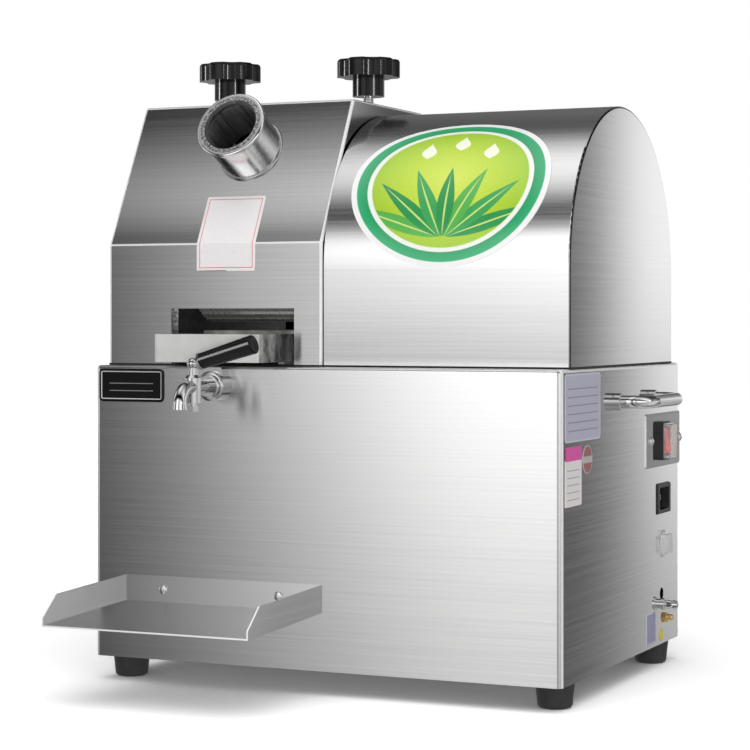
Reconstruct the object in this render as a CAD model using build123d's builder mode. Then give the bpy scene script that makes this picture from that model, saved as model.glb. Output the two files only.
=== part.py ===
"""Table-top sugarcane juicer: sheet-steel cabinet, three-roller mill, domed drive cover, tap and shelf."""
import os
from math import acos, atan2, cos, hypot, pi, radians, sin, sqrt, tan

from build123d import *

os.makedirs("parts", exist_ok=True)

# Driving dimensions in millimetres. +X is the operator's right, -Y the front, +Z up.

# Cabinet
cab_w = 476
cab_d = 358
cab_h = 280
foot_height = 23
sheet = 1.5
cab_bend = 5
top_bend = 3
shelf_reach = 147
cab_front = shelf_reach / 2 - cab_d / 2
cab_back = cab_front + cab_d
cab_mid_y = (cab_front + cab_back) / 2
cab_bottom = foot_height
cab_top = cab_bottom + cab_h
cab_right = cab_w / 2

# Feet
foot_inset_x = 19
foot_inset_y = 36
foot_top_r = 18
foot_tip_r = 15.5
foot_round = 4
foot_screw_r = 3
foot_screw_head = 4

# Upper covers
cover_inset = 24.2
cover_sheet = 1.2
seal_t = 1.8
seal_w = 6
cover_front = cab_front + cover_inset
cover_back = cab_back - cover_inset
cover_bottom = cab_top + seal_t
cover_side = cab_right - 0.5
dome_r = (cover_back - cover_front) / 2
dome_spring = cover_bottom + 89.9
dome_left = -5
dome_edge_round = 2
head_left = -cover_side
head_right = -7
head_crease = cover_bottom + 114.9
head_top = cover_bottom + 254.9
head_lean = 71
head_bend = 4
head_edge_round = 2.5
head_open_x = (-168, -36)
head_open_top = cover_bottom + 53
waste_open_x = (-176, -41)
waste_open_top = cover_bottom + 108
gear_arch_r = dome_r - 18

# Feed tube, square to the leaning front of the head cover
tube_x = -106
tube_up = 0.656
tube_len = 48
tube_in = 8
tube_r = 31.75
tube_bore = 28
rim_r = 35
rim_bore = 27
rim_t = 5
rim_round = 2

# Three-roller mill
mill_x = -108.4
plate_gap = 146.8
plate_t = 10
plate_round = 10
gear_module = 4
gear_teeth = 22
axle_distance = gear_module * gear_teeth
lower_spread = 52
lower_z = cover_bottom + 82.2
top_z = lower_z + sqrt(axle_distance**2 - lower_spread**2)
top_roller_r = 45
nip = 1
lower_roller_r = axle_distance - top_roller_r - nip
barrel_len = 140
flute_count = 24
flute_depth = 3
journal_r = 14
bush_r = 20
bush_flange_r = 24
bush_flange_t = 4
running_gap = 0.05
gear_w = 15
gear_backlash = 0.35
gear_addendum = 0.9
gear_dedendum = 1.25
gear_side_gap = 1
journal_out = 8
tie_r = 8
tie_end_r = 5
tie_nut_af = 16
tie_nut_t = 8

# Knobs
knob_r = 31.5
knob_head = 18
knob_hub_r = 16
knob_hub = 19.4
knob_lifts = (12.7, 10.3)
stud_r = 5
knob_lobes = 6
stud_block = 26
stud_block_h = 20
knob_round = 3.5
knob_hole_r = 5.5

# Juice tray and the way to the tap
tray_x = (-163.5, -47.5)
tray_lift = 4.2
tray_h = 26.3
tray_front = cab_front - 19
tray_back = cab_front + 285
tray_sheet = 1.2
drain_x = -103
drain_y = cab_front + 95
deck_drain_r = 22
tap_z = cab_top - 18
pipe_r = 9
pipe_bore = 6.5

# Tap
tap_hole_r = 10
stem_y = cab_front - 50
stem_r = 4
plug_r = 5.5
valve_r = 7.8
spout_r = 6.4
spout_lip_r = 7.2
spout_bore = 4.8
spout_bend = 16
spout_y = cab_front - 74.5
spout_z = tap_z - 19.7
lever_rise = 16.2
grip_r = 7.5
grip_flare = 1.5
grip_len = 57

# Cup shelf
shelf_x = (-204, 5)
shelf_back_z = cab_bottom + 54
shelf_drop = 6
shelf_wall = 26
shelf_lip = 8
shelf_corner = 22

# Carrying handles
handle_y = (cab_front + 124, cab_front + 232)
handle_z = cab_bottom + 248
handle_rod_r = 6
handle_reach = 46
ferrule_r = 8
ferrule_len = 15

# Controls on the right side, each placed from the cabinet's front face and bottom edge
plate_y = cab_front + 297.5
plate_z = cab_bottom + 204.5
plate_size = (113, 53)
plate_thick = 2
switch_y = cab_front + 274.5
switch_size = (24, 38)
switch_hole = (19, 33)
switch_out = 10.5
boot_size = (20, 34)
boot_out = 8
rocker_size = (13.5, 27)
rocker_tilt = 8
inlet_y = cab_front + 300
inlet_z = cab_bottom + 145.5
inlet_size = (44, 31)
inlet_hole = (37, 26)
inlet_recess = (32, 22)
inlet_depth = 20
inlet_lip = 2.5
cutout_play = 0.2
moulding_round = 3
moulding_taper = 20
breaker_y = cab_front + 291
breaker_z = cab_bottom + 101
breaker_r = 8
breaker_depth = 30
breaker_ring_r = 14.5
breaker_cap_size = 20
breaker_cap_out = 6.5
cable_hole_y = cab_front + 298
cable_hole_z = cab_bottom + 50
cable_hole_r = 6
nipple_y = cab_front + 273
nipple_z = cab_bottom + 43
nipple_shank_r = 4
nipple_bore = 2.2
earth_y = cab_front + 300
earth_z = cab_bottom + 26.5
earth_r = 3

# Screws of the shelf and of the switch plate
shelf_screw_x = (-161, -38.5)
shelf_screw_z = shelf_back_z + 13.5
plate_screw_y = (plate_y - 48, plate_y + 48)
screw_r = 2
screw_head_r = 4
screw_head_t = 2.4
screw_taper = 20

# Drive under the dome
gearbox_x = (52, 138)
gearbox_size = (112, 118)
motor_r = 62
motor_end = 226
output_bore_depth = 34
output_in_box = 32
stand_top = top_z - gearbox_size[1] / 2
capacitor_x = 120
capacitor_r = 22
capacitor_h = 84


def save(piece, label):
    """Label a finished piece and write its STEP file."""
    piece.part.label = label
    export_step(piece.part, f"parts/{label}.step")


def arch_face(radius, bottom):
    """Sketch an upright arch about the middle of the covers, with straight legs down to bottom."""
    with Locations((cab_mid_y, dome_spring)):
        Circle(radius)
        Rectangle(2 * radius, radius, align=(Align.CENTER, Align.MAX), mode=Mode.SUBTRACT)
        Rectangle(2 * radius, dome_spring - bottom, align=(Align.CENTER, Align.MAX))


# Cabinet shell: one folded box of sheet steel, open below, with its top as the deck of the mill
vent_size = (64, 5)
vent_grid = (2, 7)
vent_pitch = (192, 13)
with BuildPart() as cabinet_shell:
    with BuildSketch(Plane.XY.offset(cab_bottom)):
        with Locations((0, cab_mid_y)):
            RectangleRounded(cab_w, cab_d, cab_bend)
    extrude(amount=cab_h)
    fillet(cabinet_shell.faces().sort_by(Axis.Z)[-1].edges(), top_bend)
    with BuildSketch(Plane.XY.offset(cab_bottom)):
        with Locations((0, cab_mid_y)):
            RectangleRounded(cab_w - 2 * sheet, cab_d - 2 * sheet, cab_bend - sheet)
    extrude(amount=cab_h - sheet, mode=Mode.SUBTRACT)
    # Juice drain in the deck
    with Locations((drain_x, drain_y, cab_top)):
        Hole(deck_drain_r, 2 * sheet)
    # Tap shank hole and shelf screw holes in the front
    with BuildSketch(Plane.XZ.offset(-cab_front)):
        with Locations((drain_x, tap_z)):
            Circle(tap_hole_r)
        with Locations(*[(x, shelf_screw_z) for x in shelf_screw_x]):
            Circle(screw_r)
    extrude(amount=-2 * sheet, mode=Mode.SUBTRACT)
    # Control cut-outs and plain holes in the right side
    with BuildSketch(Plane.YZ.offset(cab_right)):
        with Locations((switch_y, plate_z)):
            Rectangle(*switch_hole)
        with Locations((inlet_y, inlet_z)):
            Rectangle(*inlet_hole)
        with Locations((breaker_y, breaker_z)):
            Circle(breaker_r)
        with Locations((cable_hole_y, cable_hole_z)):
            Circle(cable_hole_r)
        with Locations((nipple_y, nipple_z)):
            Circle(nipple_shank_r)
        with Locations((earth_y, earth_z)):
            Circle(earth_r)
        with Locations(*[(y, plate_z) for y in plate_screw_y]):
            Circle(screw_r)
    extrude(amount=-2 * sheet, mode=Mode.SUBTRACT)
    # Vent slots in the back
    with BuildSketch(Plane.XZ.offset(-cab_back)):
        with Locations((0, cab_bottom + cab_h / 2)):
            with GridLocations(*vent_pitch, *vent_grid):
                SlotOverall(*vent_size)
    extrude(amount=2 * sheet, mode=Mode.SUBTRACT)
save(cabinet_shell, "cabinet_shell")

# Base plate: closes the cabinet from below and takes the screws of the feet
foot_places = [
    (sx * (cab_right - foot_inset_x), cab_mid_y + sy * (cab_d / 2 - foot_inset_y), 0)
    for sx in (-1, 1)
    for sy in (-1, 1)
]
with BuildPart() as base_plate:
    with BuildSketch(Plane.XY.offset(cab_bottom)):
        with Locations((0, cab_mid_y)):
            RectangleRounded(
                cab_w - 2 * sheet - 2 * cutout_play,
                cab_d - 2 * sheet - 2 * cutout_play,
                cab_bend - sheet,
            )
        with Locations(*foot_places):
            Circle(foot_screw_r, mode=Mode.SUBTRACT)
    extrude(amount=sheet)
save(base_plate, "base_plate")

# Rubber feet: tapered, rounded below, each with a blind hole for its screw
foot_hole_depth = 9
with BuildPart() as rubber_feet:
    with Locations(*foot_places):
        Cone(foot_tip_r, foot_top_r, foot_height, align=(Align.CENTER, Align.CENTER, Align.MIN))
    fillet(rubber_feet.edges().group_by(Axis.Z)[0], foot_round)
    with BuildSketch(Plane.XY.offset(foot_height)):
        with Locations(*foot_places):
            Circle(foot_screw_r)
    extrude(amount=-foot_hole_depth, mode=Mode.SUBTRACT)
save(rubber_feet, "rubber_feet")

# Foot screws: shank down into the rubber, hexagon head on the base plate
with BuildPart() as foot_screws:
    with BuildSketch(Plane.XY.offset(foot_height - foot_hole_depth)):
        with Locations(*foot_places):
            Circle(foot_screw_r)
    extrude(amount=foot_hole_depth + sheet)
    with BuildSketch(Plane.XY.offset(cab_bottom + sheet)):
        with Locations(*foot_places):
            RegularPolygon(2 * foot_screw_r, 6)
    extrude(amount=foot_screw_head)
save(foot_screws, "foot_screws")

# Cover seal: a flat rubber frame on the deck that both upper covers stand on
with BuildPart() as cover_seal:
    with BuildSketch(Plane.XY.offset(cab_top)):
        with Locations((0, cab_mid_y)):
            Rectangle(2 * cover_side, 2 * dome_r)
            Rectangle(2 * cover_side - 2 * seal_w, 2 * dome_r - 2 * seal_w, mode=Mode.SUBTRACT)
    extrude(amount=seal_t)
save(cover_seal, "cover_seal")

# Dome cover: an arch of sheet with a flat right end, open to the head on its left
with BuildPart() as dome_cover:
    with BuildSketch(Plane.YZ.offset(dome_left)):
        arch_face(dome_r, cover_bottom)
    extrude(amount=cover_side - dome_left)
    dome_rim = dome_cover.faces().sort_by(Axis.X)[-1].edges().sort_by(Axis.Z)[1:]
    fillet(dome_rim, dome_edge_round)
    with BuildSketch(Plane.YZ.offset(dome_left)):
        arch_face(dome_r - cover_sheet, cover_bottom)
    extrude(amount=cover_side - dome_left - cover_sheet, mode=Mode.SUBTRACT)
save(dome_cover, "dome_cover")

# Head cover: folded over the mill, leaning front and back, open below, lifted off after two knobs are undone
lean_len = hypot(head_lean, head_top - head_crease)
face_up = Vector(0, head_lean / lean_len, (head_top - head_crease) / lean_len)
face_out = Vector(0, -face_up.Z, face_up.Y)
tube_base = Vector(tube_x, cover_front, head_crease) + face_up * (tube_up * lean_len)
tube_plane = Plane(origin=tube_base, x_dir=(1, 0, 0), z_dir=face_out)
knob_places = [(mill_x + side * (plate_gap + plate_t) / 2, cab_mid_y) for side in (-1, 1)]


def head_outline(inset):
    """Sketch the head's end outline, drawn in by a sheet's thickness where inset is set."""
    front = cover_front + inset
    back = cover_back - inset
    crease = head_crease - inset * tan(atan2(head_lean, head_top - head_crease) / 2)
    top = head_top - inset
    lean = (top - crease) * head_lean / (head_top - head_crease)
    Polygon(
        (front, cover_bottom),
        (front, crease),
        (front + lean, top),
        (back - lean, top),
        (back, crease),
        (back, cover_bottom),
        align=None,
    )


with BuildPart() as head_cover:
    with BuildSketch(Plane.YZ.offset(head_left)) as head_outer:
        head_outline(0)
        fillet(head_outer.vertices().group_by(Axis.Y)[1:], head_bend)
    extrude(amount=head_right - head_left)
    for end in (0, -1):
        fillet(head_cover.faces().sort_by(Axis.X)[end].edges().sort_by(Axis.Z)[1:], head_edge_round)
    with BuildSketch(Plane.YZ.offset(head_left + cover_sheet)) as head_inner:
        head_outline(cover_sheet)
        fillet(head_inner.vertices().group_by(Axis.Y)[1:], head_bend - cover_sheet)
    extrude(amount=head_right - head_left - 2 * cover_sheet, mode=Mode.SUBTRACT)
    # Arched way for the gears through the right wall, hidden by the dome
    with BuildSketch(Plane.YZ.offset(head_right)):
        arch_face(gear_arch_r, cover_bottom)
    extrude(amount=-2 * cover_sheet, mode=Mode.SUBTRACT)
    # Front notch for the juice tray and back notch for the pressed cane
    with BuildSketch(Plane.XZ.offset(-cover_front)):
        with Locations((sum(head_open_x) / 2, cover_bottom)):
            Rectangle(
                head_open_x[1] - head_open_x[0],
                head_open_top - cover_bottom,
                align=(Align.CENTER, Align.MIN),
            )
    extrude(amount=-2 * cover_sheet, mode=Mode.SUBTRACT)
    with BuildSketch(Plane.XZ.offset(-cover_back)):
        with Locations((sum(waste_open_x) / 2, cover_bottom)):
            Rectangle(
                waste_open_x[1] - waste_open_x[0],
                waste_open_top - cover_bottom,
                align=(Align.CENTER, Align.MIN),
            )
    extrude(amount=2 * cover_sheet, mode=Mode.SUBTRACT)
    # Seat of the feed tube and the two knob holes
    with BuildSketch(tube_plane):
        Circle(tube_r)
    extrude(amount=-2 * cover_sheet, mode=Mode.SUBTRACT)
    with BuildSketch(Plane.XY.offset(head_top)):
        with Locations(*knob_places):
            Circle(knob_hole_r)
    extrude(amount=-2 * cover_sheet, mode=Mode.SUBTRACT)
save(head_cover, "head_cover")

# Feed tube: polished pipe with a thick rolled rim, welded into the leaning face
with BuildPart() as feed_tube:
    with BuildSketch(Plane(origin=tube_base, x_dir=(1, 0, 0), z_dir=-face_up)) as tube_half:
        with BuildLine():
            Polyline(
                (tube_bore, -tube_in),
                (tube_r, -tube_in),
                (tube_r, tube_len - rim_t),
                (rim_r, tube_len - rim_t),
                (rim_r, tube_len),
                (rim_bore, tube_len),
                (rim_bore, tube_len - rim_t),
                (tube_bore, tube_len - 2 * rim_t),
                close=True,
            )
        make_face()
        fillet(tube_half.vertices().group_by(Axis.X)[-1], rim_round)
    revolve(axis=Axis(tube_base, face_out))
save(feed_tube, "feed_tube")

# Mill side plates: thick steel cheeks that carry the three rollers, standing on the deck
plate_foot = (cab_front + 62, cab_front + 296)
plate_top = (cab_front + 120, cab_front + 238)
plate_shoulder_z = cab_top + 125
plate_top_z = cab_top + 215
axles = {
    "top": (cab_mid_y, top_z),
    "front": (cab_mid_y - lower_spread, lower_z),
    "rear": (cab_mid_y + lower_spread, lower_z),
}
tie_places = [
    (cab_front + 76, cab_top + 122),
    (cab_front + 262, cab_top + 140),
    (cab_front + 228, cab_top + 198),
]
left_plate_x = mill_x - plate_gap / 2 - plate_t
right_plate_x = mill_x + plate_gap / 2


def mill_plate(start_x):
    """One cheek of the mill, from start_x towards +X."""
    with BuildPart() as cheek:
        with BuildSketch(Plane.YZ.offset(start_x)) as cheek_face:
            Polygon(
                (plate_foot[0], cab_top),
                (plate_foot[0], plate_shoulder_z),
                (plate_top[0], plate_top_z),
                (plate_top[1], plate_top_z),
                (plate_foot[1], plate_shoulder_z),
                (plate_foot[1], cab_top),
                align=None,
            )
            fillet(cheek_face.vertices().group_by(Axis.Y)[1:], plate_round)
            with Locations(*axles.values()):
                Circle(bush_r, mode=Mode.SUBTRACT)
            with Locations(*tie_places):
                Circle(tie_end_r, mode=Mode.SUBTRACT)
        extrude(amount=plate_t)
    return cheek


save(mill_plate(left_plate_x), "mill_plate_left")
save(mill_plate(right_plate_x), "mill_plate_right")

# Tie bars: turned rods that hold the cheeks apart, with thinner ends through them
with BuildPart() as tie_bars:
    with BuildSketch(Plane.YZ.offset(left_plate_x + plate_t)):
        with Locations(*tie_places):
            Circle(tie_r)
    extrude(amount=plate_gap)
    with BuildSketch(Plane.YZ.offset(left_plate_x - tie_nut_t)):
        with Locations(*tie_places):
            Circle(tie_end_r)
    extrude(amount=plate_gap + 2 * plate_t + 2 * tie_nut_t)
save(tie_bars, "tie_bars")

with BuildPart() as tie_bar_nuts:
    for nut_x in (left_plate_x - tie_nut_t, right_plate_x + plate_t):
        with BuildSketch(Plane.YZ.offset(nut_x)):
            with Locations(*tie_places):
                RegularPolygon(tie_nut_af / 2, 6, major_radius=False)
                Circle(tie_end_r, mode=Mode.SUBTRACT)
        extrude(amount=tie_nut_t)
save(tie_bar_nuts, "tie_bar_nuts")

# Bronze bushes: flanged on the outer face of each cheek
with BuildPart() as roller_bushes:
    for seat_x, flange_x in (
        (left_plate_x, left_plate_x - bush_flange_t),
        (right_plate_x, right_plate_x + plate_t),
    ):
        with BuildSketch(Plane.YZ.offset(seat_x)):
            with Locations(*axles.values()):
                Circle(bush_r)
        extrude(amount=plate_t)
        with BuildSketch(Plane.YZ.offset(flange_x)):
            with Locations(*axles.values()):
                Circle(bush_flange_r)
        extrude(amount=bush_flange_t)
    with BuildSketch(Plane.YZ.offset(left_plate_x - bush_flange_t)):
        with Locations(*axles.values()):
            Circle(journal_r + running_gap)
    extrude(amount=plate_gap + 2 * plate_t + 2 * bush_flange_t, mode=Mode.SUBTRACT)
save(roller_bushes, "roller_bushes")

# Stud blocks: tapped blocks on top of the cheeks that the knob studs screw into
with BuildPart() as stud_blocks:
    with BuildSketch(Plane.XY.offset(plate_top_z)):
        with Locations(*knob_places):
            RectangleRounded(stud_block, stud_block, knob_round)
            Circle(stud_r + running_gap, mode=Mode.SUBTRACT)
    extrude(amount=stud_block_h)
save(stud_blocks, "stud_blocks")

# Rollers: fluted barrels turned in one piece with their journals
gear_x = right_plate_x + plate_t + bush_flange_t + gear_side_gap
journal_left = left_plate_x - bush_flange_t - journal_out
lower_journal_right = gear_x + gear_w + journal_out - 2 * gear_side_gap
coupling_x = (gear_x + gear_w + journal_out, gearbox_x[0] - gear_side_gap)
coupling_mid = sum(coupling_x) / 2


def fluted_roller(axle, radius, journal_right):
    """A roller whose barrel has straight V flutes along its length."""
    pitch = 2 * pi / flute_count
    ridge = 0.3
    outline = []
    for number in range(flute_count):
        for turn, reach in ((-ridge, radius), (ridge, radius), (0.5, radius - flute_depth)):
            angle = (number + turn) * pitch
            outline.append((reach * cos(angle), reach * sin(angle)))
    with BuildPart() as roller:
        with BuildSketch(Plane.YZ.offset(mill_x - barrel_len / 2)):
            with Locations(axle):
                Polygon(*outline, align=None)
        extrude(amount=barrel_len)
        with BuildSketch(Plane.YZ.offset(journal_left)):
            with Locations(axle):
                Circle(journal_r)
        extrude(amount=journal_right - journal_left)
    return roller


save(fluted_roller(axles["top"], top_roller_r, coupling_mid), "top_roller")
save(fluted_roller(axles["front"], lower_roller_r, lower_journal_right), "front_roller")
save(fluted_roller(axles["rear"], lower_roller_r, lower_journal_right), "rear_roller")

# Roller gears: three equal spur gears with involute teeth, the lower two driven by the top one
pressure = radians(20)
gear_pitch_r = gear_module * gear_teeth / 2
gear_base_r = gear_pitch_r * cos(pressure)
gear_tip_r = gear_pitch_r + gear_addendum * gear_module
gear_root_r = gear_pitch_r - gear_dedendum * gear_module
tooth_pitch = 2 * pi / gear_teeth
web_outer_r = gear_root_r - 5
web_inner_r = journal_r + 8
web_depth = 4


def involute(angle):
    """The involute function of a pressure angle."""
    return tan(angle) - angle


def half_tooth(radius):
    """Half of a tooth's angle at a radius, less its share of the backlash."""
    flank = acos(min(1, gear_base_r / radius))
    return tooth_pitch / 4 + involute(pressure) - involute(flank) - gear_backlash / gear_pitch_r


def spur_gear(axle, tooth_at):
    """A spur gear on a roller journal with one tooth centred on the angle tooth_at."""
    flank_radii = (gear_root_r, gear_base_r, gear_pitch_r, gear_tip_r)
    outline = []
    for number in range(gear_teeth):
        middle = tooth_at + number * tooth_pitch
        rising = [(r, middle - half_tooth(max(r, gear_base_r))) for r in flank_radii]
        falling = [(r, middle + half_tooth(max(r, gear_base_r))) for r in reversed(flank_radii)]
        outline += [(r * cos(angle), r * sin(angle)) for r, angle in rising + falling]
    with BuildPart() as gear:
        with BuildSketch(Plane.YZ.offset(gear_x)):
            with Locations(axle):
                Polygon(*outline, align=None)
        extrude(amount=gear_w)
        # Shallow web on the outer face, leaving the hub and the rim
        with BuildSketch(Plane.YZ.offset(gear_x + gear_w)):
            with Locations(axle):
                Circle(web_outer_r)
                Circle(web_inner_r, mode=Mode.SUBTRACT)
        extrude(amount=-web_depth, mode=Mode.SUBTRACT)
        with BuildSketch(Plane.YZ.offset(gear_x)):
            with Locations(axle):
                Circle(journal_r)
        extrude(amount=gear_w, mode=Mode.SUBTRACT)
    return gear


def meshing_tooth(line):
    """Tooth angle of a lower gear that meshes with the top gear along the line of centres."""
    step = (top_tooth_at - line) % tooth_pitch
    return line + pi - step + tooth_pitch / 2


top_tooth_at = pi / 2
line_front = atan2(lower_z - top_z, -lower_spread)
line_rear = atan2(lower_z - top_z, lower_spread)
save(spur_gear(axles["top"], top_tooth_at), "top_gear")
save(spur_gear(axles["front"], meshing_tooth(line_front)), "front_gear")
save(spur_gear(axles["rear"], meshing_tooth(line_rear)), "rear_gear")

# Turn plate: the bar under the top roller that leads the cane from the first nip to the second
turn_w = 14
turn_h = 17
turn_gap = 2
with BuildPart() as turn_plate:
    with BuildSketch(Plane.YZ.offset(left_plate_x + plate_t)):
        with Locations((cab_mid_y, top_z - top_roller_r - turn_gap - turn_h)):
            Rectangle(turn_w, turn_h + turn_gap, align=(Align.CENTER, Align.MIN))
        with Locations(axles["top"]):
            Circle(top_roller_r + turn_gap, mode=Mode.SUBTRACT)
    extrude(amount=plate_gap)
save(turn_plate, "turn_plate")

# Waste chute: bent sheet behind the rollers that drops the pressed cane out of the back
chute_w = 120
chute_start = Vector(mill_x, cab_front + 278, cab_top + 70)
chute_end = Vector(mill_x, cab_front + 350, cab_top + 44)
chute_len = (chute_end - chute_start).length
chute_tab = 12
chute_lip = 12
chute_plane = Plane(
    origin=chute_start, x_dir=(1, 0, 0), z_dir=Vector(1, 0, 0).cross(chute_end - chute_start)
)
with BuildPart() as waste_chute:
    with BuildSketch(chute_plane):
        Rectangle(chute_w, chute_len, align=(Align.CENTER, Align.MIN))
        Rectangle(plate_gap, chute_tab, align=(Align.CENTER, Align.MIN))
    extrude(amount=sheet)
    with BuildSketch(chute_plane):
        with Locations((-(chute_w - sheet) / 2, chute_tab), ((chute_w - sheet) / 2, chute_tab)):
            Rectangle(sheet, chute_len - chute_tab, align=(Align.CENTER, Align.MIN))
    extrude(amount=chute_lip)
save(waste_chute, "waste_chute")

# Juice tray: open sheet tray on two rails below the rollers, with a drain hole over the cup
tray_w = tray_x[1] - tray_x[0]
tray_mid = sum(tray_x) / 2
tray_len = tray_back - tray_front
tray_bottom = cab_top + tray_lift
tray_corner = 5
tray_drain_r = 9
with BuildPart() as juice_tray:
    with BuildSketch(Plane.XY.offset(tray_bottom)):
        with Locations((tray_mid, tray_front)):
            RectangleRounded(tray_w, tray_len, tray_corner, align=(Align.CENTER, Align.MIN))
    extrude(amount=tray_h)
    with BuildSketch(Plane.XY.offset(tray_bottom + tray_sheet)):
        with Locations((tray_mid, tray_front + tray_sheet)):
            RectangleRounded(
                tray_w - 2 * tray_sheet,
                tray_len - 2 * tray_sheet,
                tray_corner - tray_sheet,
                align=(Align.CENTER, Align.MIN),
            )
    extrude(amount=tray_h, mode=Mode.SUBTRACT)
    with Locations((drain_x, drain_y, tray_bottom + tray_sheet)):
        Hole(tray_drain_r, 2 * tray_sheet)
save(juice_tray, "juice_tray")

# Juice strainer: slotted sheet pan that hangs in the back of the tray under the rollers
strainer_front = cab_front + 76
strainer_play = 2
strainer_w = tray_w - 2 * tray_sheet - strainer_play
strainer_len = tray_back - tray_sheet - strainer_play - strainer_front
strainer_floor = tray_bottom + 14
strainer_rim = tray_bottom + tray_h + 3
slot_size = (44, 4)
slot_grid = (2, 12)
with BuildPart() as juice_strainer:
    with BuildSketch(Plane.XY.offset(tray_bottom + tray_sheet)):
        with Locations((tray_mid, strainer_front)):
            Rectangle(strainer_w, strainer_len, align=(Align.CENTER, Align.MIN))
    extrude(amount=strainer_rim - tray_bottom - tray_sheet)
    with BuildSketch(Plane.XY.offset(strainer_floor + tray_sheet)):
        with Locations((tray_mid, strainer_front + tray_sheet)):
            Rectangle(
                strainer_w - 2 * tray_sheet,
                strainer_len - 2 * tray_sheet,
                align=(Align.CENTER, Align.MIN),
            )
    extrude(amount=strainer_rim - strainer_floor, mode=Mode.SUBTRACT)
    # Hollow below the floor, so that it stands in the tray on its skirt
    with BuildSketch(Plane.XY.offset(tray_bottom)):
        with Locations((tray_mid, strainer_front + tray_sheet)):
            Rectangle(
                strainer_w - 2 * tray_sheet,
                strainer_len - 2 * tray_sheet,
                align=(Align.CENTER, Align.MIN),
            )
    extrude(amount=strainer_floor - tray_bottom, mode=Mode.SUBTRACT)
    with BuildSketch(Plane.XY.offset(strainer_floor)):
        with Locations((tray_mid, strainer_front + strainer_len / 2)):
            with GridLocations(strainer_w / 2, strainer_len / (slot_grid[1] + 1), *slot_grid):
                SlotOverall(*slot_size)
    extrude(amount=2 * tray_sheet, mode=Mode.SUBTRACT)
save(juice_strainer, "juice_strainer")

# Tray rails: two strips on the deck that the tray slides on
rail_w = 6
rail_inset = 8
rail_len = 250
rail_start = cab_front + 36
with BuildPart() as tray_rails:
    with BuildSketch(Plane.XY.offset(cab_top)):
        for rail_x in (tray_x[0] + rail_inset, tray_x[1] - rail_inset):
            with Locations((rail_x, rail_start)):
                Rectangle(rail_w, rail_len, align=(Align.CENTER, Align.MIN))
    extrude(amount=tray_lift)
save(tray_rails, "tray_rails")

# Juice cup: flanged cup under the deck that gathers the juice from the tray
cup_r = 26
cup_wall = 2.5
cup_flange_r = 32
cup_floor = tap_z - 16
deck_under = cab_top - sheet
with BuildPart() as juice_cup:
    with BuildSketch(Plane.XY.offset(cup_floor)):
        with Locations((drain_x, drain_y)):
            Circle(cup_r)
    extrude(amount=deck_under - cup_floor)
    with BuildSketch(Plane.XY.offset(deck_under)):
        with Locations((drain_x, drain_y)):
            Circle(cup_flange_r)
    extrude(amount=-cup_wall)
    with BuildSketch(Plane.XY.offset(deck_under)):
        with Locations((drain_x, drain_y)):
            Circle(cup_r - cup_wall)
    extrude(amount=-(deck_under - cup_floor - cup_wall), mode=Mode.SUBTRACT)
    with BuildSketch(Plane.XZ.offset(-drain_y)):
        with Locations((drain_x, tap_z)):
            Circle(pipe_r)
    extrude(amount=2 * cup_r, mode=Mode.SUBTRACT)
save(juice_cup, "juice_cup")

# Juice pipe: short hose from the cup to the tap's shank
shank_in = 22
with BuildPart() as juice_pipe:
    with BuildSketch(Plane.XZ.offset(-(cab_front + shank_in))):
        with Locations((drain_x, tap_z)):
            Circle(pipe_r)
            Circle(pipe_bore, mode=Mode.SUBTRACT)
    extrude(amount=-(drain_y - cup_r + 2 * cup_wall - cab_front - shank_in))
save(juice_pipe, "juice_pipe")

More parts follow.
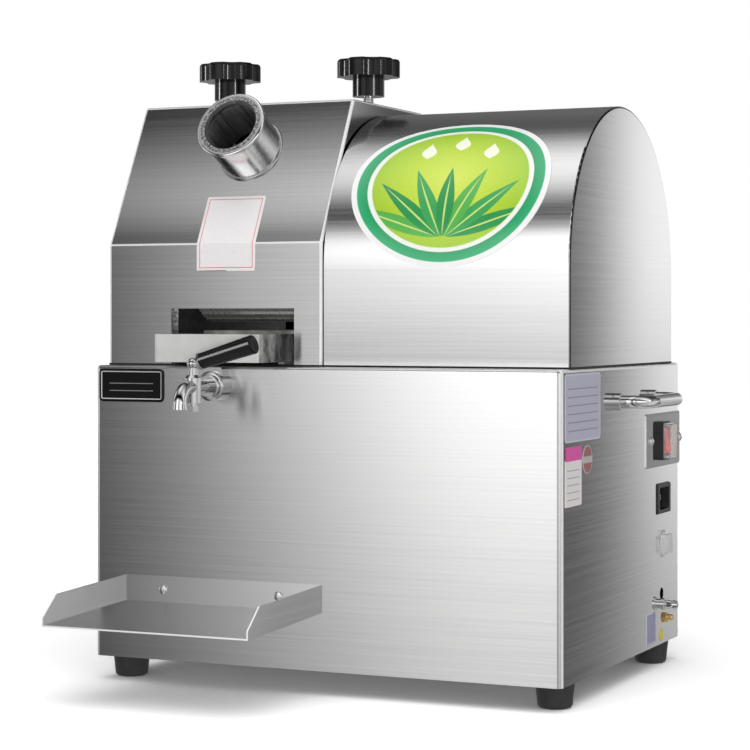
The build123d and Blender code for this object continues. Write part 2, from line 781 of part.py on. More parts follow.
# Tap body: shank through the panel, two turned rings, an upright valve barrel and a spout that bends down
shank_r = 9.5
ring_r = (14, 11.5)
ring_out = (14, 19, 23)
neck_r = 6.3
neck_bore = 4.5
valve_bottom = tap_z - 14.5
valve_top = tap_z + 6.5
chamber_floor = tap_z - 9
lip_h = 6
ring_rounds = (2, 1.6)
with BuildPart() as tap_body:
    for start, end, radius in zip(ring_out, ring_out[1:], ring_r):
        with BuildSketch(Plane.XZ.offset(start - cab_front)):
            with Locations((drain_x, tap_z)):
                Circle(radius)
        extrude(amount=end - start)
    for radius, rounding in zip(ring_r, ring_rounds):
        rims = tap_body.edges().filter_by(GeomType.CIRCLE)
        fillet(rims.filter_by(lambda edge: abs(edge.radius - radius) < 0.01).sort_by(Axis.Y)[0], rounding)
    with BuildSketch(Plane.XZ.offset(-(cab_front + shank_in))):
        with Locations((drain_x, tap_z)):
            Circle(shank_r)
    extrude(amount=shank_in + ring_out[0])
    with BuildSketch(Plane.XZ.offset(ring_out[-1] - cab_front)):
        with Locations((drain_x, tap_z)):
            Circle(neck_r)
    extrude(amount=cab_front - ring_out[-1] - stem_y)
    with BuildSketch(Plane.XY.offset(valve_bottom)):
        with Locations((drain_x, stem_y)):
            Circle(valve_r)
    extrude(amount=valve_top - valve_bottom)
    with BuildLine() as spout_path:
        FilletPolyline(
            (drain_x, stem_y, tap_z),
            (drain_x, spout_y, tap_z),
            (drain_x, spout_y, spout_z),
            radius=spout_bend,
        )
    with BuildSketch(Plane(origin=spout_path.line @ 0, z_dir=spout_path.line % 0)):
        Circle(spout_r)
    sweep(path=spout_path.line)
    with Locations((drain_x, spout_y, spout_z)):
        Cone(spout_lip_r, spout_r, lip_h, align=(Align.CENTER, Align.CENTER, Align.MIN))
    with BuildSketch(Plane(origin=spout_path.line @ 0, z_dir=spout_path.line % 0)):
        Circle(spout_bore)
    sweep(path=spout_path.line, mode=Mode.SUBTRACT)
    with BuildSketch(Plane.XZ.offset(-(cab_front + shank_in))):
        with Locations((drain_x, tap_z)):
            Circle(pipe_bore)
    extrude(amount=shank_in + ring_out[1], mode=Mode.SUBTRACT)
    with BuildSketch(Plane.XZ.offset(ring_out[1] - cab_front)):
        with Locations((drain_x, tap_z)):
            Circle(neck_bore)
    extrude(amount=cab_front - ring_out[1] - stem_y, mode=Mode.SUBTRACT)
    with BuildSketch(Plane.XY.offset(chamber_floor)):
        with Locations((drain_x, stem_y)):
            Circle(plug_r + running_gap)
    extrude(amount=valve_top - chamber_floor, mode=Mode.SUBTRACT)
save(tap_body, "tap_body")

# Tap nuts: the block between panel and rings, the lock nut behind the panel and the cap under the valve
block_w = 21
block_top = cab_top - 0.5
block_round = 2
lock_nut_af = 30
lock_nut_t = 8
cap_neck_r = 3.5
cap_neck_h = 3
cap_af = 10
cap_h = 5
with BuildPart() as tap_nuts:
    with BuildSketch(Plane.XZ.offset(-cab_front)):
        with Locations((drain_x, tap_z)):
            Circle(ring_r[0])
            Rectangle(block_w, block_top - tap_z, align=(Align.CENTER, Align.MIN))
            Circle(shank_r, mode=Mode.SUBTRACT)
    extrude(amount=ring_out[0])
    fillet(tap_nuts.edges().filter_by(Axis.Y).group_by(Axis.Z)[-1], block_round)
    with BuildSketch(Plane.XZ.offset(-(cab_front + sheet))):
        with Locations((drain_x, tap_z)):
            RegularPolygon(lock_nut_af / 2, 6, major_radius=False)
            Circle(shank_r, mode=Mode.SUBTRACT)
    extrude(amount=-lock_nut_t)
    with BuildSketch(Plane.XY.offset(valve_bottom)):
        with Locations((drain_x, stem_y)):
            Circle(cap_neck_r)
    extrude(amount=-cap_neck_h)
    with BuildSketch(Plane.XY.offset(valve_bottom - cap_neck_h)):
        with Locations((drain_x, stem_y)):
            RegularPolygon(cap_af / 2, 6, major_radius=False)
    extrude(amount=-cap_h)
save(tap_nuts, "tap_nuts")

# Tap bonnet: turned cap on the valve, its outline as (radius, height above the valve)
bonnet_outline = [(8.4, 0), (8.4, 2), (5.4, 4.8), (5.4, 7)]
bonnet_top = valve_top + bonnet_outline[-1][1]
with BuildPart() as tap_bonnet:
    with BuildSketch(Plane(origin=(drain_x, stem_y, valve_top), x_dir=(1, 0, 0), z_dir=(0, -1, 0))):
        Polygon(
            (stem_r + running_gap, 0),
            *bonnet_outline,
            (stem_r + running_gap, bonnet_outline[-1][1]),
            align=None,
        )
    revolve(axis=Axis((drain_x, stem_y, 0), (0, 0, 1)))
save(tap_bonnet, "tap_bonnet")

# Tap lever: valve plug with a cross hole, stem with a ball cap, and a rod out to the grip
ball_r = 5.6
ball_z = tap_z + 21.5
plug_bottom = chamber_floor + running_gap
plug_top = valve_top - running_gap
plug_hole_r = 4
lever_collar_r = 5.4
lever_collar_t = 1.5
lever_gap = 0.5
rod_r = 3.2
grip_start = 9.5
grip_ring_r = 8.2
grip_ring_t = 1.5
grip_round = 2
rod_in_grip = 40
lever_dir = Vector(cos(radians(lever_rise)), 0, sin(radians(lever_rise)))
ball_centre = Vector(drain_x, stem_y, ball_z)
lever_plane = Plane(origin=ball_centre, x_dir=(0, 1, 0), z_dir=lever_dir)
with BuildPart() as tap_lever:
    with BuildSketch(Plane.XY.offset(plug_bottom)):
        with Locations((drain_x, stem_y)):
            Circle(plug_r)
    extrude(amount=plug_top - plug_bottom)
    with BuildSketch(Plane.YZ.offset(drain_x - plug_r)):
        with Locations((stem_y, tap_z)):
            Circle(plug_hole_r)
    extrude(amount=2 * plug_r, mode=Mode.SUBTRACT)
    with BuildSketch(Plane.XY.offset(plug_top)):
        with Locations((drain_x, stem_y)):
            Circle(stem_r)
    extrude(amount=ball_z - plug_top)
    with BuildSketch(Plane.XY.offset(bonnet_top + lever_gap)):
        with Locations((drain_x, stem_y)):
            Circle(lever_collar_r)
    extrude(amount=lever_collar_t)
    with Locations(ball_centre):
        Sphere(ball_r)
    with BuildSketch(lever_plane):
        Circle(rod_r)
    extrude(amount=grip_start + rod_in_grip)
    with BuildSketch(lever_plane.offset(grip_start - grip_ring_t)):
        Circle(grip_ring_r)
    extrude(amount=grip_ring_t)
save(tap_lever, "tap_lever")

# Lever grip: black sleeve pushed on to the rod
with BuildPart() as lever_grip:
    with BuildSketch(lever_plane.offset(grip_start)):
        Circle(grip_r)
    extrude(amount=grip_len, taper=-grip_flare)
    fillet(lever_grip.edges().sort_by(Axis(ball_centre, lever_dir))[-1], grip_round)
    with BuildSketch(lever_plane.offset(grip_start)):
        Circle(rod_r)
    extrude(amount=rod_in_grip, mode=Mode.SUBTRACT)
save(lever_grip, "lever_grip")

# Cup shelf: one sheet folded up at the sides and back, open in front, sloping a little forward
shelf_w = shelf_x[1] - shelf_x[0]
shelf_front = cab_front - shelf_reach
shelf_fall = shelf_drop / shelf_reach
corner_z = shelf_back_z - shelf_fall * (shelf_reach - shelf_corner)
with BuildPart() as cup_shelf:
    for wall_x in (shelf_x[0], shelf_x[1] - sheet):
        with BuildSketch(Plane.YZ.offset(wall_x)):
            Polygon(
                (cab_front, shelf_back_z),
                (shelf_front, shelf_back_z - shelf_drop),
                (shelf_front, shelf_back_z - shelf_drop + shelf_lip),
                (shelf_front + shelf_corner, corner_z + shelf_wall),
                (cab_front, shelf_back_z + shelf_wall),
                align=None,
            )
        extrude(amount=sheet)
    with BuildSketch(Plane.YZ.offset(shelf_x[0])):
        Polygon(
            (cab_front, shelf_back_z),
            (shelf_front, shelf_back_z - shelf_drop),
            (shelf_front, shelf_back_z - shelf_drop + sheet),
            (cab_front, shelf_back_z + sheet),
            align=None,
        )
    extrude(amount=shelf_w)
    with BuildSketch(Plane.XZ.offset(-cab_front)):
        with Locations((sum(shelf_x) / 2, shelf_back_z)):
            Rectangle(shelf_w, shelf_wall, align=(Align.CENTER, Align.MIN))
        with Locations(*[(x, shelf_screw_z) for x in shelf_screw_x]):
            Circle(screw_r, mode=Mode.SUBTRACT)
    extrude(amount=sheet)
save(cup_shelf, "cup_shelf")

# Carrying handles: a bent rod on each side, its ends in turned ferrules
handle_bend = 20


def carrying_handle(side):
    """The handle on one side, side being +1 for the right and -1 for the left."""
    root = side * cab_right
    reach = side * (cab_right + handle_reach - handle_rod_r)
    with BuildPart() as handle:
        with BuildLine() as bow:
            FilletPolyline(
                (root, handle_y[0], handle_z),
                (reach, handle_y[0], handle_z),
                (reach, handle_y[1], handle_z),
                (root, handle_y[1], handle_z),
                radius=handle_bend,
            )
        with BuildSketch(Plane(origin=bow.line @ 0, z_dir=bow.line % 0)):
            Circle(handle_rod_r)
        sweep()
    return handle


save(carrying_handle(1), "right_handle")
save(carrying_handle(-1), "left_handle")

with BuildPart() as handle_ferrules:
    for root, out in ((cab_right, ferrule_len), (-cab_right - ferrule_len, ferrule_len)):
        with BuildSketch(Plane.YZ.offset(root)):
            with Locations(*[(y, handle_z) for y in handle_y]):
                Circle(ferrule_r)
                Circle(handle_rod_r, mode=Mode.SUBTRACT)
        extrude(amount=out)
save(handle_ferrules, "handle_ferrules")

# Star knobs: lobed heads on a long hub, each moulded round a threaded stud
stud_in_hub = 12
stud_tip = plate_top_z + 2
lobe_gap_r = 11.5
lobe_gap_out = 7.5


def star_knob(place, hub_bottom):
    """The moulded part of one knob."""
    with BuildPart() as knob:
        with BuildSketch(Plane.XY.offset(hub_bottom + knob_hub)) as lobes:
            with Locations(place):
                Circle(knob_r)
                with PolarLocations(knob_r + lobe_gap_out, knob_lobes):
                    Circle(lobe_gap_r, mode=Mode.SUBTRACT)
            fillet(lobes.vertices(), knob_round)
        extrude(amount=knob_head)
        fillet(knob.faces().sort_by(Axis.Z)[-1].edges(), knob_round)
        with BuildSketch(Plane.XY.offset(hub_bottom)):
            with Locations(place):
                Circle(knob_hub_r)
        extrude(amount=knob_hub)
        with BuildSketch(Plane.XY.offset(hub_bottom)):
            with Locations(place):
                Circle(stud_r)
        extrude(amount=stud_in_hub, mode=Mode.SUBTRACT)
    return knob


def knob_stud(place, hub_bottom):
    """The stud of one knob, through the cover's top into its block."""
    with BuildPart() as stud:
        with BuildSketch(Plane.XY.offset(stud_tip)):
            with Locations(place):
                Circle(stud_r)
        extrude(amount=hub_bottom + stud_in_hub - stud_tip)
    return stud


for side, knob_place, knob_lift in zip(("left", "right"), knob_places, knob_lifts):
    save(star_knob(knob_place, head_top + knob_lift), f"{side}_knob")
    save(knob_stud(knob_place, head_top + knob_lift), f"{side}_knob_stud")

# Switch plate: thin steel plate that carries the switch, held by a screw at each end
with BuildPart() as switch_plate:
    with BuildSketch(Plane.YZ.offset(cab_right)):
        with Locations((plate_y, plate_z)):
            RectangleRounded(*plate_size, moulding_round)
        with Locations((switch_y, plate_z)):
            Rectangle(*switch_hole, mode=Mode.SUBTRACT)
        with Locations(*[(y, plate_z) for y in plate_screw_y]):
            Circle(screw_r, mode=Mode.SUBTRACT)
    extrude(amount=plate_thick)
save(switch_plate, "switch_plate")

# Panel screws: the pan heads that hold the shelf's back and the switch plate
screw_len = 8
with BuildPart() as panel_screws:
    for head_plane, places in (
        (Plane.XZ.offset(sheet - cab_front), [(x, shelf_screw_z) for x in shelf_screw_x]),
        (Plane.YZ.offset(cab_right + plate_thick), [(y, plate_z) for y in plate_screw_y]),
    ):
        with BuildSketch(head_plane):
            with Locations(*places):
                Circle(screw_head_r)
        extrude(amount=screw_head_t, taper=screw_taper)
        with BuildSketch(head_plane):
            with Locations(*places):
                Circle(screw_r)
        extrude(amount=-screw_len)
save(panel_screws, "panel_screws")

# Switch housing: raised frame in front of the plate and a body behind it
switch_front = cab_right + plate_thick + switch_out
housing_back = 26
pocket_depth = 8.5
pocket_play = 2
with BuildPart() as switch_housing:
    with BuildSketch(Plane.YZ.offset(cab_right + plate_thick)):
        with Locations((switch_y, plate_z)):
            RectangleRounded(*switch_size, moulding_round)
    extrude(amount=switch_out)
    with BuildSketch(Plane.YZ.offset(cab_right + plate_thick)):
        with Locations((switch_y, plate_z)):
            Rectangle(switch_hole[0] - 2 * cutout_play, switch_hole[1] - 2 * cutout_play)
    extrude(amount=-housing_back)
    with BuildSketch(Plane.YZ.offset(switch_front)):
        with Locations((switch_y, plate_z)):
            Rectangle(rocker_size[0] + pocket_play, rocker_size[1] + pocket_play)
    extrude(amount=-pocket_depth, mode=Mode.SUBTRACT)
save(switch_housing, "switch_housing")

# Rocker: red, with a hollow front, tilted about a cross axis in the housing
rocker_sink = 4
rocker_axis_x = switch_front - rocker_sink
rocker_half_z = rocker_size[1] / 2 - 1
rocker_back = -1.7
rocker_end = 5.5
rocker_waist = 4.2
rocker_plane = Plane(
    origin=(rocker_axis_x, switch_y + rocker_size[0] / 2, plate_z),
    x_dir=(cos(radians(rocker_tilt)), 0, sin(radians(rocker_tilt))),
    z_dir=(0, -1, 0),
)
with BuildPart() as rocker:
    with BuildSketch(rocker_plane):
        Polygon(
            (rocker_back, -rocker_half_z),
            (rocker_end, -rocker_half_z),
            (rocker_waist, 0),
            (rocker_end, rocker_half_z),
            (rocker_back, rocker_half_z),
            align=None,
        )
    extrude(amount=rocker_size[0])
save(rocker, "rocker")

# Switch boot: clear cap that keeps juice off the rocker
boot_wall = 1.2
boot_edge = 1.5
with BuildPart() as switch_boot:
    with BuildSketch(Plane.YZ.offset(switch_front)):
        with Locations((switch_y, plate_z)):
            RectangleRounded(*boot_size, moulding_round)
    extrude(amount=boot_out)
    fillet(switch_boot.faces().sort_by(Axis.X)[-1].edges(), boot_edge)
    with BuildSketch(Plane.YZ.offset(switch_front)):
        with Locations((switch_y, plate_z)):
            RectangleRounded(
                boot_size[0] - 2 * boot_wall,
                boot_size[1] - 2 * boot_wall,
                moulding_round - boot_wall,
            )
    extrude(amount=boot_out - boot_wall, mode=Mode.SUBTRACT)
save(switch_boot, "switch_boot")

# Power inlet: black socket with a deep recess for a mains connector
inlet_back = 26
with BuildPart() as power_inlet:
    with BuildSketch(Plane.YZ.offset(cab_right)):
        with Locations((inlet_y, inlet_z)):
            RectangleRounded(*inlet_size, moulding_round)
    extrude(amount=inlet_lip, taper=moulding_taper)
    with BuildSketch(Plane.YZ.offset(cab_right)):
        with Locations((inlet_y, inlet_z)):
            Rectangle(inlet_hole[0] - 2 * cutout_play, inlet_hole[1] - 2 * cutout_play)
    extrude(amount=-inlet_back)
    with BuildSketch(Plane.YZ.offset(cab_right + inlet_lip)):
        with Locations((inlet_y, inlet_z)):
            RectangleRounded(*inlet_recess, moulding_round)
    extrude(amount=-inlet_depth, mode=Mode.SUBTRACT)
save(power_inlet, "power_inlet")

pin_size = (2, 6)
pin_len = 13
pin_pitch = 9
with BuildPart() as inlet_pins:
    with BuildSketch(Plane.YZ.offset(cab_right + inlet_lip - inlet_depth)):
        with Locations((inlet_y, inlet_z)):
            with GridLocations(pin_pitch, 0, 3, 1):
                Rectangle(*pin_size)
    extrude(amount=pin_len)
save(inlet_pins, "inlet_pins")

# Overload breaker: body behind the panel, faceted ring in front, reset button under a clear cap
button_r = 5
button_out = 8.5
button_in = 2
button_edge = 1.5
button_bore_depth = 8
with BuildPart() as breaker_body:
    with BuildSketch(Plane.YZ.offset(cab_right)):
        with Locations((breaker_y, breaker_z)):
            Circle(breaker_r)
    extrude(amount=-breaker_depth)
    with BuildSketch(Plane.YZ.offset(cab_right)):
        with Locations((breaker_y, breaker_z)):
            Circle(button_r + running_gap)
    extrude(amount=-button_bore_depth, mode=Mode.SUBTRACT)
save(breaker_body, "breaker_body")

ring_t = 4.5
ring_bore = 8.5
ring_edge = 1.2
ring_sides = 8
with BuildPart() as breaker_ring:
    with BuildSketch(Plane.YZ.offset(cab_right)):
        with Locations((breaker_y, breaker_z)):
            RegularPolygon(breaker_ring_r, ring_sides, rotation=180 / ring_sides)
            Circle(ring_bore, mode=Mode.SUBTRACT)
    extrude(amount=ring_t)
    chamfer(breaker_ring.faces().sort_by(Axis.X)[-1].outer_wire().edges(), ring_edge)
save(breaker_ring, "breaker_ring")

with BuildPart() as reset_button:
    with BuildSketch(Plane.YZ.offset(cab_right - button_in)):
        with Locations((breaker_y, breaker_z)):
            Circle(button_r)
    extrude(amount=button_in + button_out)
    fillet(reset_button.edges().sort_by(Axis.X)[-1], button_edge)
save(reset_button, "reset_button")

cap_wall = 1.2
cap_round = 4
cap_edge = 1.5
with BuildPart() as breaker_cap:
    with BuildSketch(Plane.YZ.offset(cab_right + ring_t)):
        with Locations((breaker_y, breaker_z)):
            RectangleRounded(breaker_cap_size, breaker_cap_size, cap_round)
    extrude(amount=breaker_cap_out)
    fillet(breaker_cap.faces().sort_by(Axis.X)[-1].edges(), cap_edge)
    with BuildSketch(Plane.YZ.offset(cab_right + ring_t)):
        with Locations((breaker_y, breaker_z)):
            RectangleRounded(
                breaker_cap_size - 2 * cap_wall,
                breaker_cap_size - 2 * cap_wall,
                cap_round - cap_wall,
            )
    extrude(amount=breaker_cap_out - cap_wall, mode=Mode.SUBTRACT)
save(breaker_cap, "breaker_cap")

# Drain nipple: turned hose barb through the side, its outline as (distance from the panel, radius)
nipple_in = 10
nipple_out = 24
nipple_flange = [(0, 7), (2, 7), (2, 5), (8, 5), (8, 6), (11, 6)]
nipple_barbs = [(11, 3.6), (14, 3.6), (14, 4.6), (18, 3.6), (20, 3.6), (20, 4.6), (nipple_out, 3.4)]
nipple_axis = Axis((cab_right, nipple_y, nipple_z), (1, 0, 0))
with BuildPart() as drain_nipple:
    with BuildSketch(Plane(origin=nipple_axis.position, x_dir=(1, 0, 0), z_dir=(0, -1, 0))):
        with BuildLine():
            Polyline(
                (-nipple_in, nipple_bore),
                (-nipple_in, nipple_shank_r),
                (0, nipple_shank_r),
                *nipple_flange,
                *nipple_barbs,
                (nipple_out, nipple_bore),
                close=True,
            )
        make_face()
    revolve(axis=nipple_axis)
save(drain_nipple, "drain_nipple")

# Earth terminal: brass stud with a nut on each face of the panel
earth_in = 10
earth_out = 11
earth_edge = 0.8
with BuildPart() as earth_stud:
    with BuildSketch(Plane.YZ.offset(cab_right - earth_in)):
        with Locations((earth_y, earth_z)):
            Circle(earth_r)
    extrude(amount=earth_in + earth_out)
    chamfer(earth_stud.edges().sort_by(Axis.X)[-1], earth_edge)
save(earth_stud, "earth_stud")

# Lock nuts: brass, on both faces of the panel at the earth stud and inside at the nipple
lock_t = 5
earth_nut_af = 10
nipple_nut_af = 14
with BuildPart() as lock_nuts:
    for face_x, amount in ((cab_right, lock_t), (cab_right - sheet, -lock_t)):
        with BuildSketch(Plane.YZ.offset(face_x)):
            with Locations((earth_y, earth_z)):
                RegularPolygon(earth_nut_af / 2, 6, major_radius=False)
                Circle(earth_r, mode=Mode.SUBTRACT)
        extrude(amount=amount)
    with BuildSketch(Plane.YZ.offset(cab_right - sheet)):
        with Locations((nipple_y, nipple_z)):
            RegularPolygon(nipple_nut_af / 2, 6, major_radius=False)
            Circle(nipple_shank_r, mode=Mode.SUBTRACT)
    extrude(amount=-lock_t)
save(lock_nuts, "lock_nuts")

# Drive stand: bent plate on the deck that lifts the gearbox to the top roller's axis
stand_w = 140
stand_t = 5
stand_foot = 20
stand_x = (58, 134)
with BuildPart() as drive_stand:
    with BuildSketch(Plane.YZ.offset(stand_x[0])):
        with Locations((cab_mid_y, cab_top)):
            Rectangle(stand_w, stand_top - cab_top, align=(Align.CENTER, Align.MIN))
            Rectangle(
                stand_w - 2 * stand_t,
                stand_top - cab_top - stand_t,
                align=(Align.CENTER, Align.MIN),
                mode=Mode.SUBTRACT,
            )
        for foot_y in (cab_mid_y - (stand_w + stand_foot) / 2, cab_mid_y + (stand_w + stand_foot) / 2):
            with Locations((foot_y, cab_top)):
                Rectangle(stand_foot, stand_t, align=(Align.CENTER, Align.MIN))
    extrude(amount=stand_x[1] - stand_x[0])
save(drive_stand, "drive_stand")

# Gearbox: cast housing with a round nose that the output shaft leaves by
output_r = 12
nose_r = 30
nose_len = 8
gearbox_round = 12
with BuildPart() as gearbox:
    with BuildSketch(Plane.YZ.offset(gearbox_x[0] + nose_len)):
        with Locations(axles["top"]):
            RectangleRounded(*gearbox_size, gearbox_round)
    extrude(amount=gearbox_x[1] - gearbox_x[0] - nose_len)
    with BuildSketch(Plane.YZ.offset(gearbox_x[0])):
        with Locations(axles["top"]):
            Circle(nose_r)
    extrude(amount=nose_len)
    with BuildSketch(Plane.YZ.offset(gearbox_x[0])):
        with Locations(axles["top"]):
            Circle(output_r + running_gap)
    extrude(amount=output_bore_depth, mode=Mode.SUBTRACT)
save(gearbox, "gearbox")

with BuildPart() as output_shaft:
    with BuildSketch(Plane.YZ.offset(coupling_mid)):
        with Locations(axles["top"]):
            Circle(output_r)
    extrude(amount=gearbox_x[0] + output_in_box - coupling_mid)
save(output_shaft, "output_shaft")

# Drive coupling: sleeve that joins the output shaft to the top roller's journal
coupling_r = 23
with BuildPart() as drive_coupling:
    with BuildSketch(Plane.YZ.offset(coupling_x[0])):
        with Locations(axles["top"]):
            Circle(coupling_r)
            Circle(journal_r, mode=Mode.SUBTRACT)
    extrude(amount=coupling_mid - coupling_x[0])
    with BuildSketch(Plane.YZ.offset(coupling_mid)):
        with Locations(axles["top"]):
            Circle(coupling_r)
            Circle(output_r, mode=Mode.SUBTRACT)
    extrude(amount=coupling_x[1] - coupling_mid)
save(drive_coupling, "drive_coupling")

# Motor: finned body flanged to the gearbox
motor_flange_t = 8
fin_count = 20
fin_h = 6
fin_t = 3
fin_root = 2
with BuildPart() as motor:
    with BuildSketch(Plane.YZ.offset(gearbox_x[1])):
        with Locations(axles["top"]):
            Circle(motor_r)
    extrude(amount=motor_flange_t)
    with BuildSketch(Plane.YZ.offset(gearbox_x[1] + motor_flange_t)):
        with Locations(axles["top"]):
            Circle(motor_r - fin_h)
            with PolarLocations(motor_r - (fin_h + fin_root) / 2, fin_count):
                Rectangle(fin_h + fin_root, fin_t)
    extrude(amount=motor_end - gearbox_x[1] - motor_flange_t)
save(motor, "motor")

# Run capacitor: round can that stands on the base plate
with BuildPart() as run_capacitor:
    with BuildSketch(Plane.XY.offset(cab_bottom + sheet)):
        with Locations((capacitor_x, cab_mid_y)):
            Circle(capacitor_r)
    extrude(amount=capacitor_h)
    fillet(run_capacitor.edges().sort_by(Axis.Z)[-1], moulding_round)
save(run_capacitor, "run_capacitor")
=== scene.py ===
from math import atan2, cos, pi, radians, sin

import bpy
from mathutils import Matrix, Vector


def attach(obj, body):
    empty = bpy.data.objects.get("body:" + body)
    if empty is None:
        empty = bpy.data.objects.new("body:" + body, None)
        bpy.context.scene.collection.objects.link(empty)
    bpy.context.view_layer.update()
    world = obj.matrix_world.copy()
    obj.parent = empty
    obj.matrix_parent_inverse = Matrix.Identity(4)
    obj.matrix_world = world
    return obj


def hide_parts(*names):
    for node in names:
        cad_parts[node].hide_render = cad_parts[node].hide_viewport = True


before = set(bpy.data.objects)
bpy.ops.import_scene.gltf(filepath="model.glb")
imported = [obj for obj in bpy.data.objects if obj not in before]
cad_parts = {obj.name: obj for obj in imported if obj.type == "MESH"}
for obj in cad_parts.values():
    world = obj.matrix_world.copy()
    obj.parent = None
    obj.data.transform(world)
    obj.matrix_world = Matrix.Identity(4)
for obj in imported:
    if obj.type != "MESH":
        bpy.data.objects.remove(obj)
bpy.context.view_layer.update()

bpy.ops.object.select_all(action="DESELECT")

# Cabinet: the shell is folded from brushed stainless sheet, with the deck as its top, and its seams are welded.
# Its front-right and top-right folds carry a painted highlight. The base plate closes it below and is held by the
# screws of the feet.

middle_y = 0.0735
no_limit = 9


class Finish:
    """A material, or the world, being put together from nodes.
    A value is a number, a tuple or another node's output, and a colour has three numbers."""

    def __init__(self, owner):
        owner.use_nodes = True
        self.owner = owner
        self.nodes, self.links = owner.node_tree.nodes, owner.node_tree.links
        self.shader = self.nodes.get("Principled BSDF")

    def feed(self, socket, value):
        """Link another node's output to a socket, or set the socket."""
        if isinstance(value, bpy.types.NodeSocket):
            self.links.new(value, socket)
        elif socket.type == "RGBA":
            socket.default_value = (*value, 1)
        else:
            socket.default_value = value

    def set(self, **inputs):
        """Feed the main shader's inputs, written with _ for a space."""
        for name, value in inputs.items():
            self.feed(self.shader.inputs[name.replace("_", " ")], value)

    def node(self, kind, inputs=(), **settings):
        """A new node with its settings made and its inputs fed, by name or number."""
        made = self.nodes.new(f"ShaderNode{kind}")
        for setting, value in settings.items():
            setattr(made, setting, value)
        for socket, value in dict(inputs).items():
            self.feed(made.inputs[socket], value)
        return made

    def step(self, operation, *values):
        """One step of arithmetic."""
        return self.node("Math", enumerate(values), operation=operation).outputs["Value"]

    def vector(self, operation, *values):
        """One step of vector arithmetic."""
        result = "Value" if operation in ("DOT_PRODUCT", "LENGTH") else "Vector"
        return self.node("VectorMath", enumerate(values), operation=operation).outputs[result]

    def parts(self, vector):
        """The X, Y and Z of a vector."""
        return self.node("SeparateXYZ", {"Vector": vector}).outputs

    def facing(self):
        """The way the surface faces."""
        return self.node("NewGeometry").outputs["Normal"]

    def mix(self, kind, by, low, high, **settings):
        """Mix two colours, vectors or numbers."""
        made = self.node("Mix", {"Factor": by}, data_type=kind, **settings)
        first, second = [socket for socket in made.inputs if socket.enabled and socket.name in "AB"]
        self.feed(first, low)
        self.feed(second, high)
        return next(socket for socket in made.outputs if socket.enabled)

    def place(self, scale, shift=(0, 0, 0)):
        """Object coordinates, stretched by scale, for a pattern that keeps its real size."""
        here = self.node("TexCoord").outputs["Object"]
        return self.node("Mapping", {"Vector": here, "Scale": scale, "Location": shift}).outputs["Vector"]

    def noise(self, pattern, detail=4, roughness=0.6, scale=1):
        """Noise on a placed pattern, or of a number of marks to the metre, one for all ways or one for each."""
        if isinstance(pattern, (int, tuple)):
            pattern = self.place(pattern if isinstance(pattern, tuple) else (pattern,) * 3)
        inputs = {"Vector": pattern, "Scale": scale, "Detail": detail, "Roughness": roughness}
        return self.node("TexNoise", inputs).outputs["Fac"]

    def spread(self, value, low, high, start=0.3, end=0.7):
        """Map the middle of a noise's range to the values low to high."""
        inputs = {"Value": value, "From Min": start, "From Max": end, "To Min": low, "To Max": high}
        return self.node("MapRange", inputs).outputs["Result"]

    def graded(self, value, stops):
        """Colour by a value, from (place between 0 and 1, colour) stops."""
        ramp = self.node("ValToRGB", {"Fac": value})
        elements = ramp.color_ramp.elements
        while len(elements) < len(stops):
            elements.new(1)
        for element, (place, _) in zip(elements, stops):
            element.position = place
        for element, (_, colour) in zip(elements, stops):
            element.color = (*colour, 1)
        return ramp.outputs["Color"]

    def tint(self, value, low, high, start=0.3, end=0.7):
        """Map the middle of a noise's range to two colours."""
        return self.graded(value, [(start, low), (end, high)])

    def relief(self, height, strength, distance, normal=None):
        """Fine relief on the main shader from a height, over a turned normal where one is given."""
        inputs = {"Height": height, "Strength": strength, "Distance": distance}
        if normal is not None:
            inputs["Normal"] = normal
        self.set(Normal=self.node("Bump", inputs).outputs["Normal"])


def new_finish(name):
    """A new material to put together."""
    return Finish(bpy.data.materials.new(name))


def grey(level):
    """A grey colour."""
    return (level, level, level)


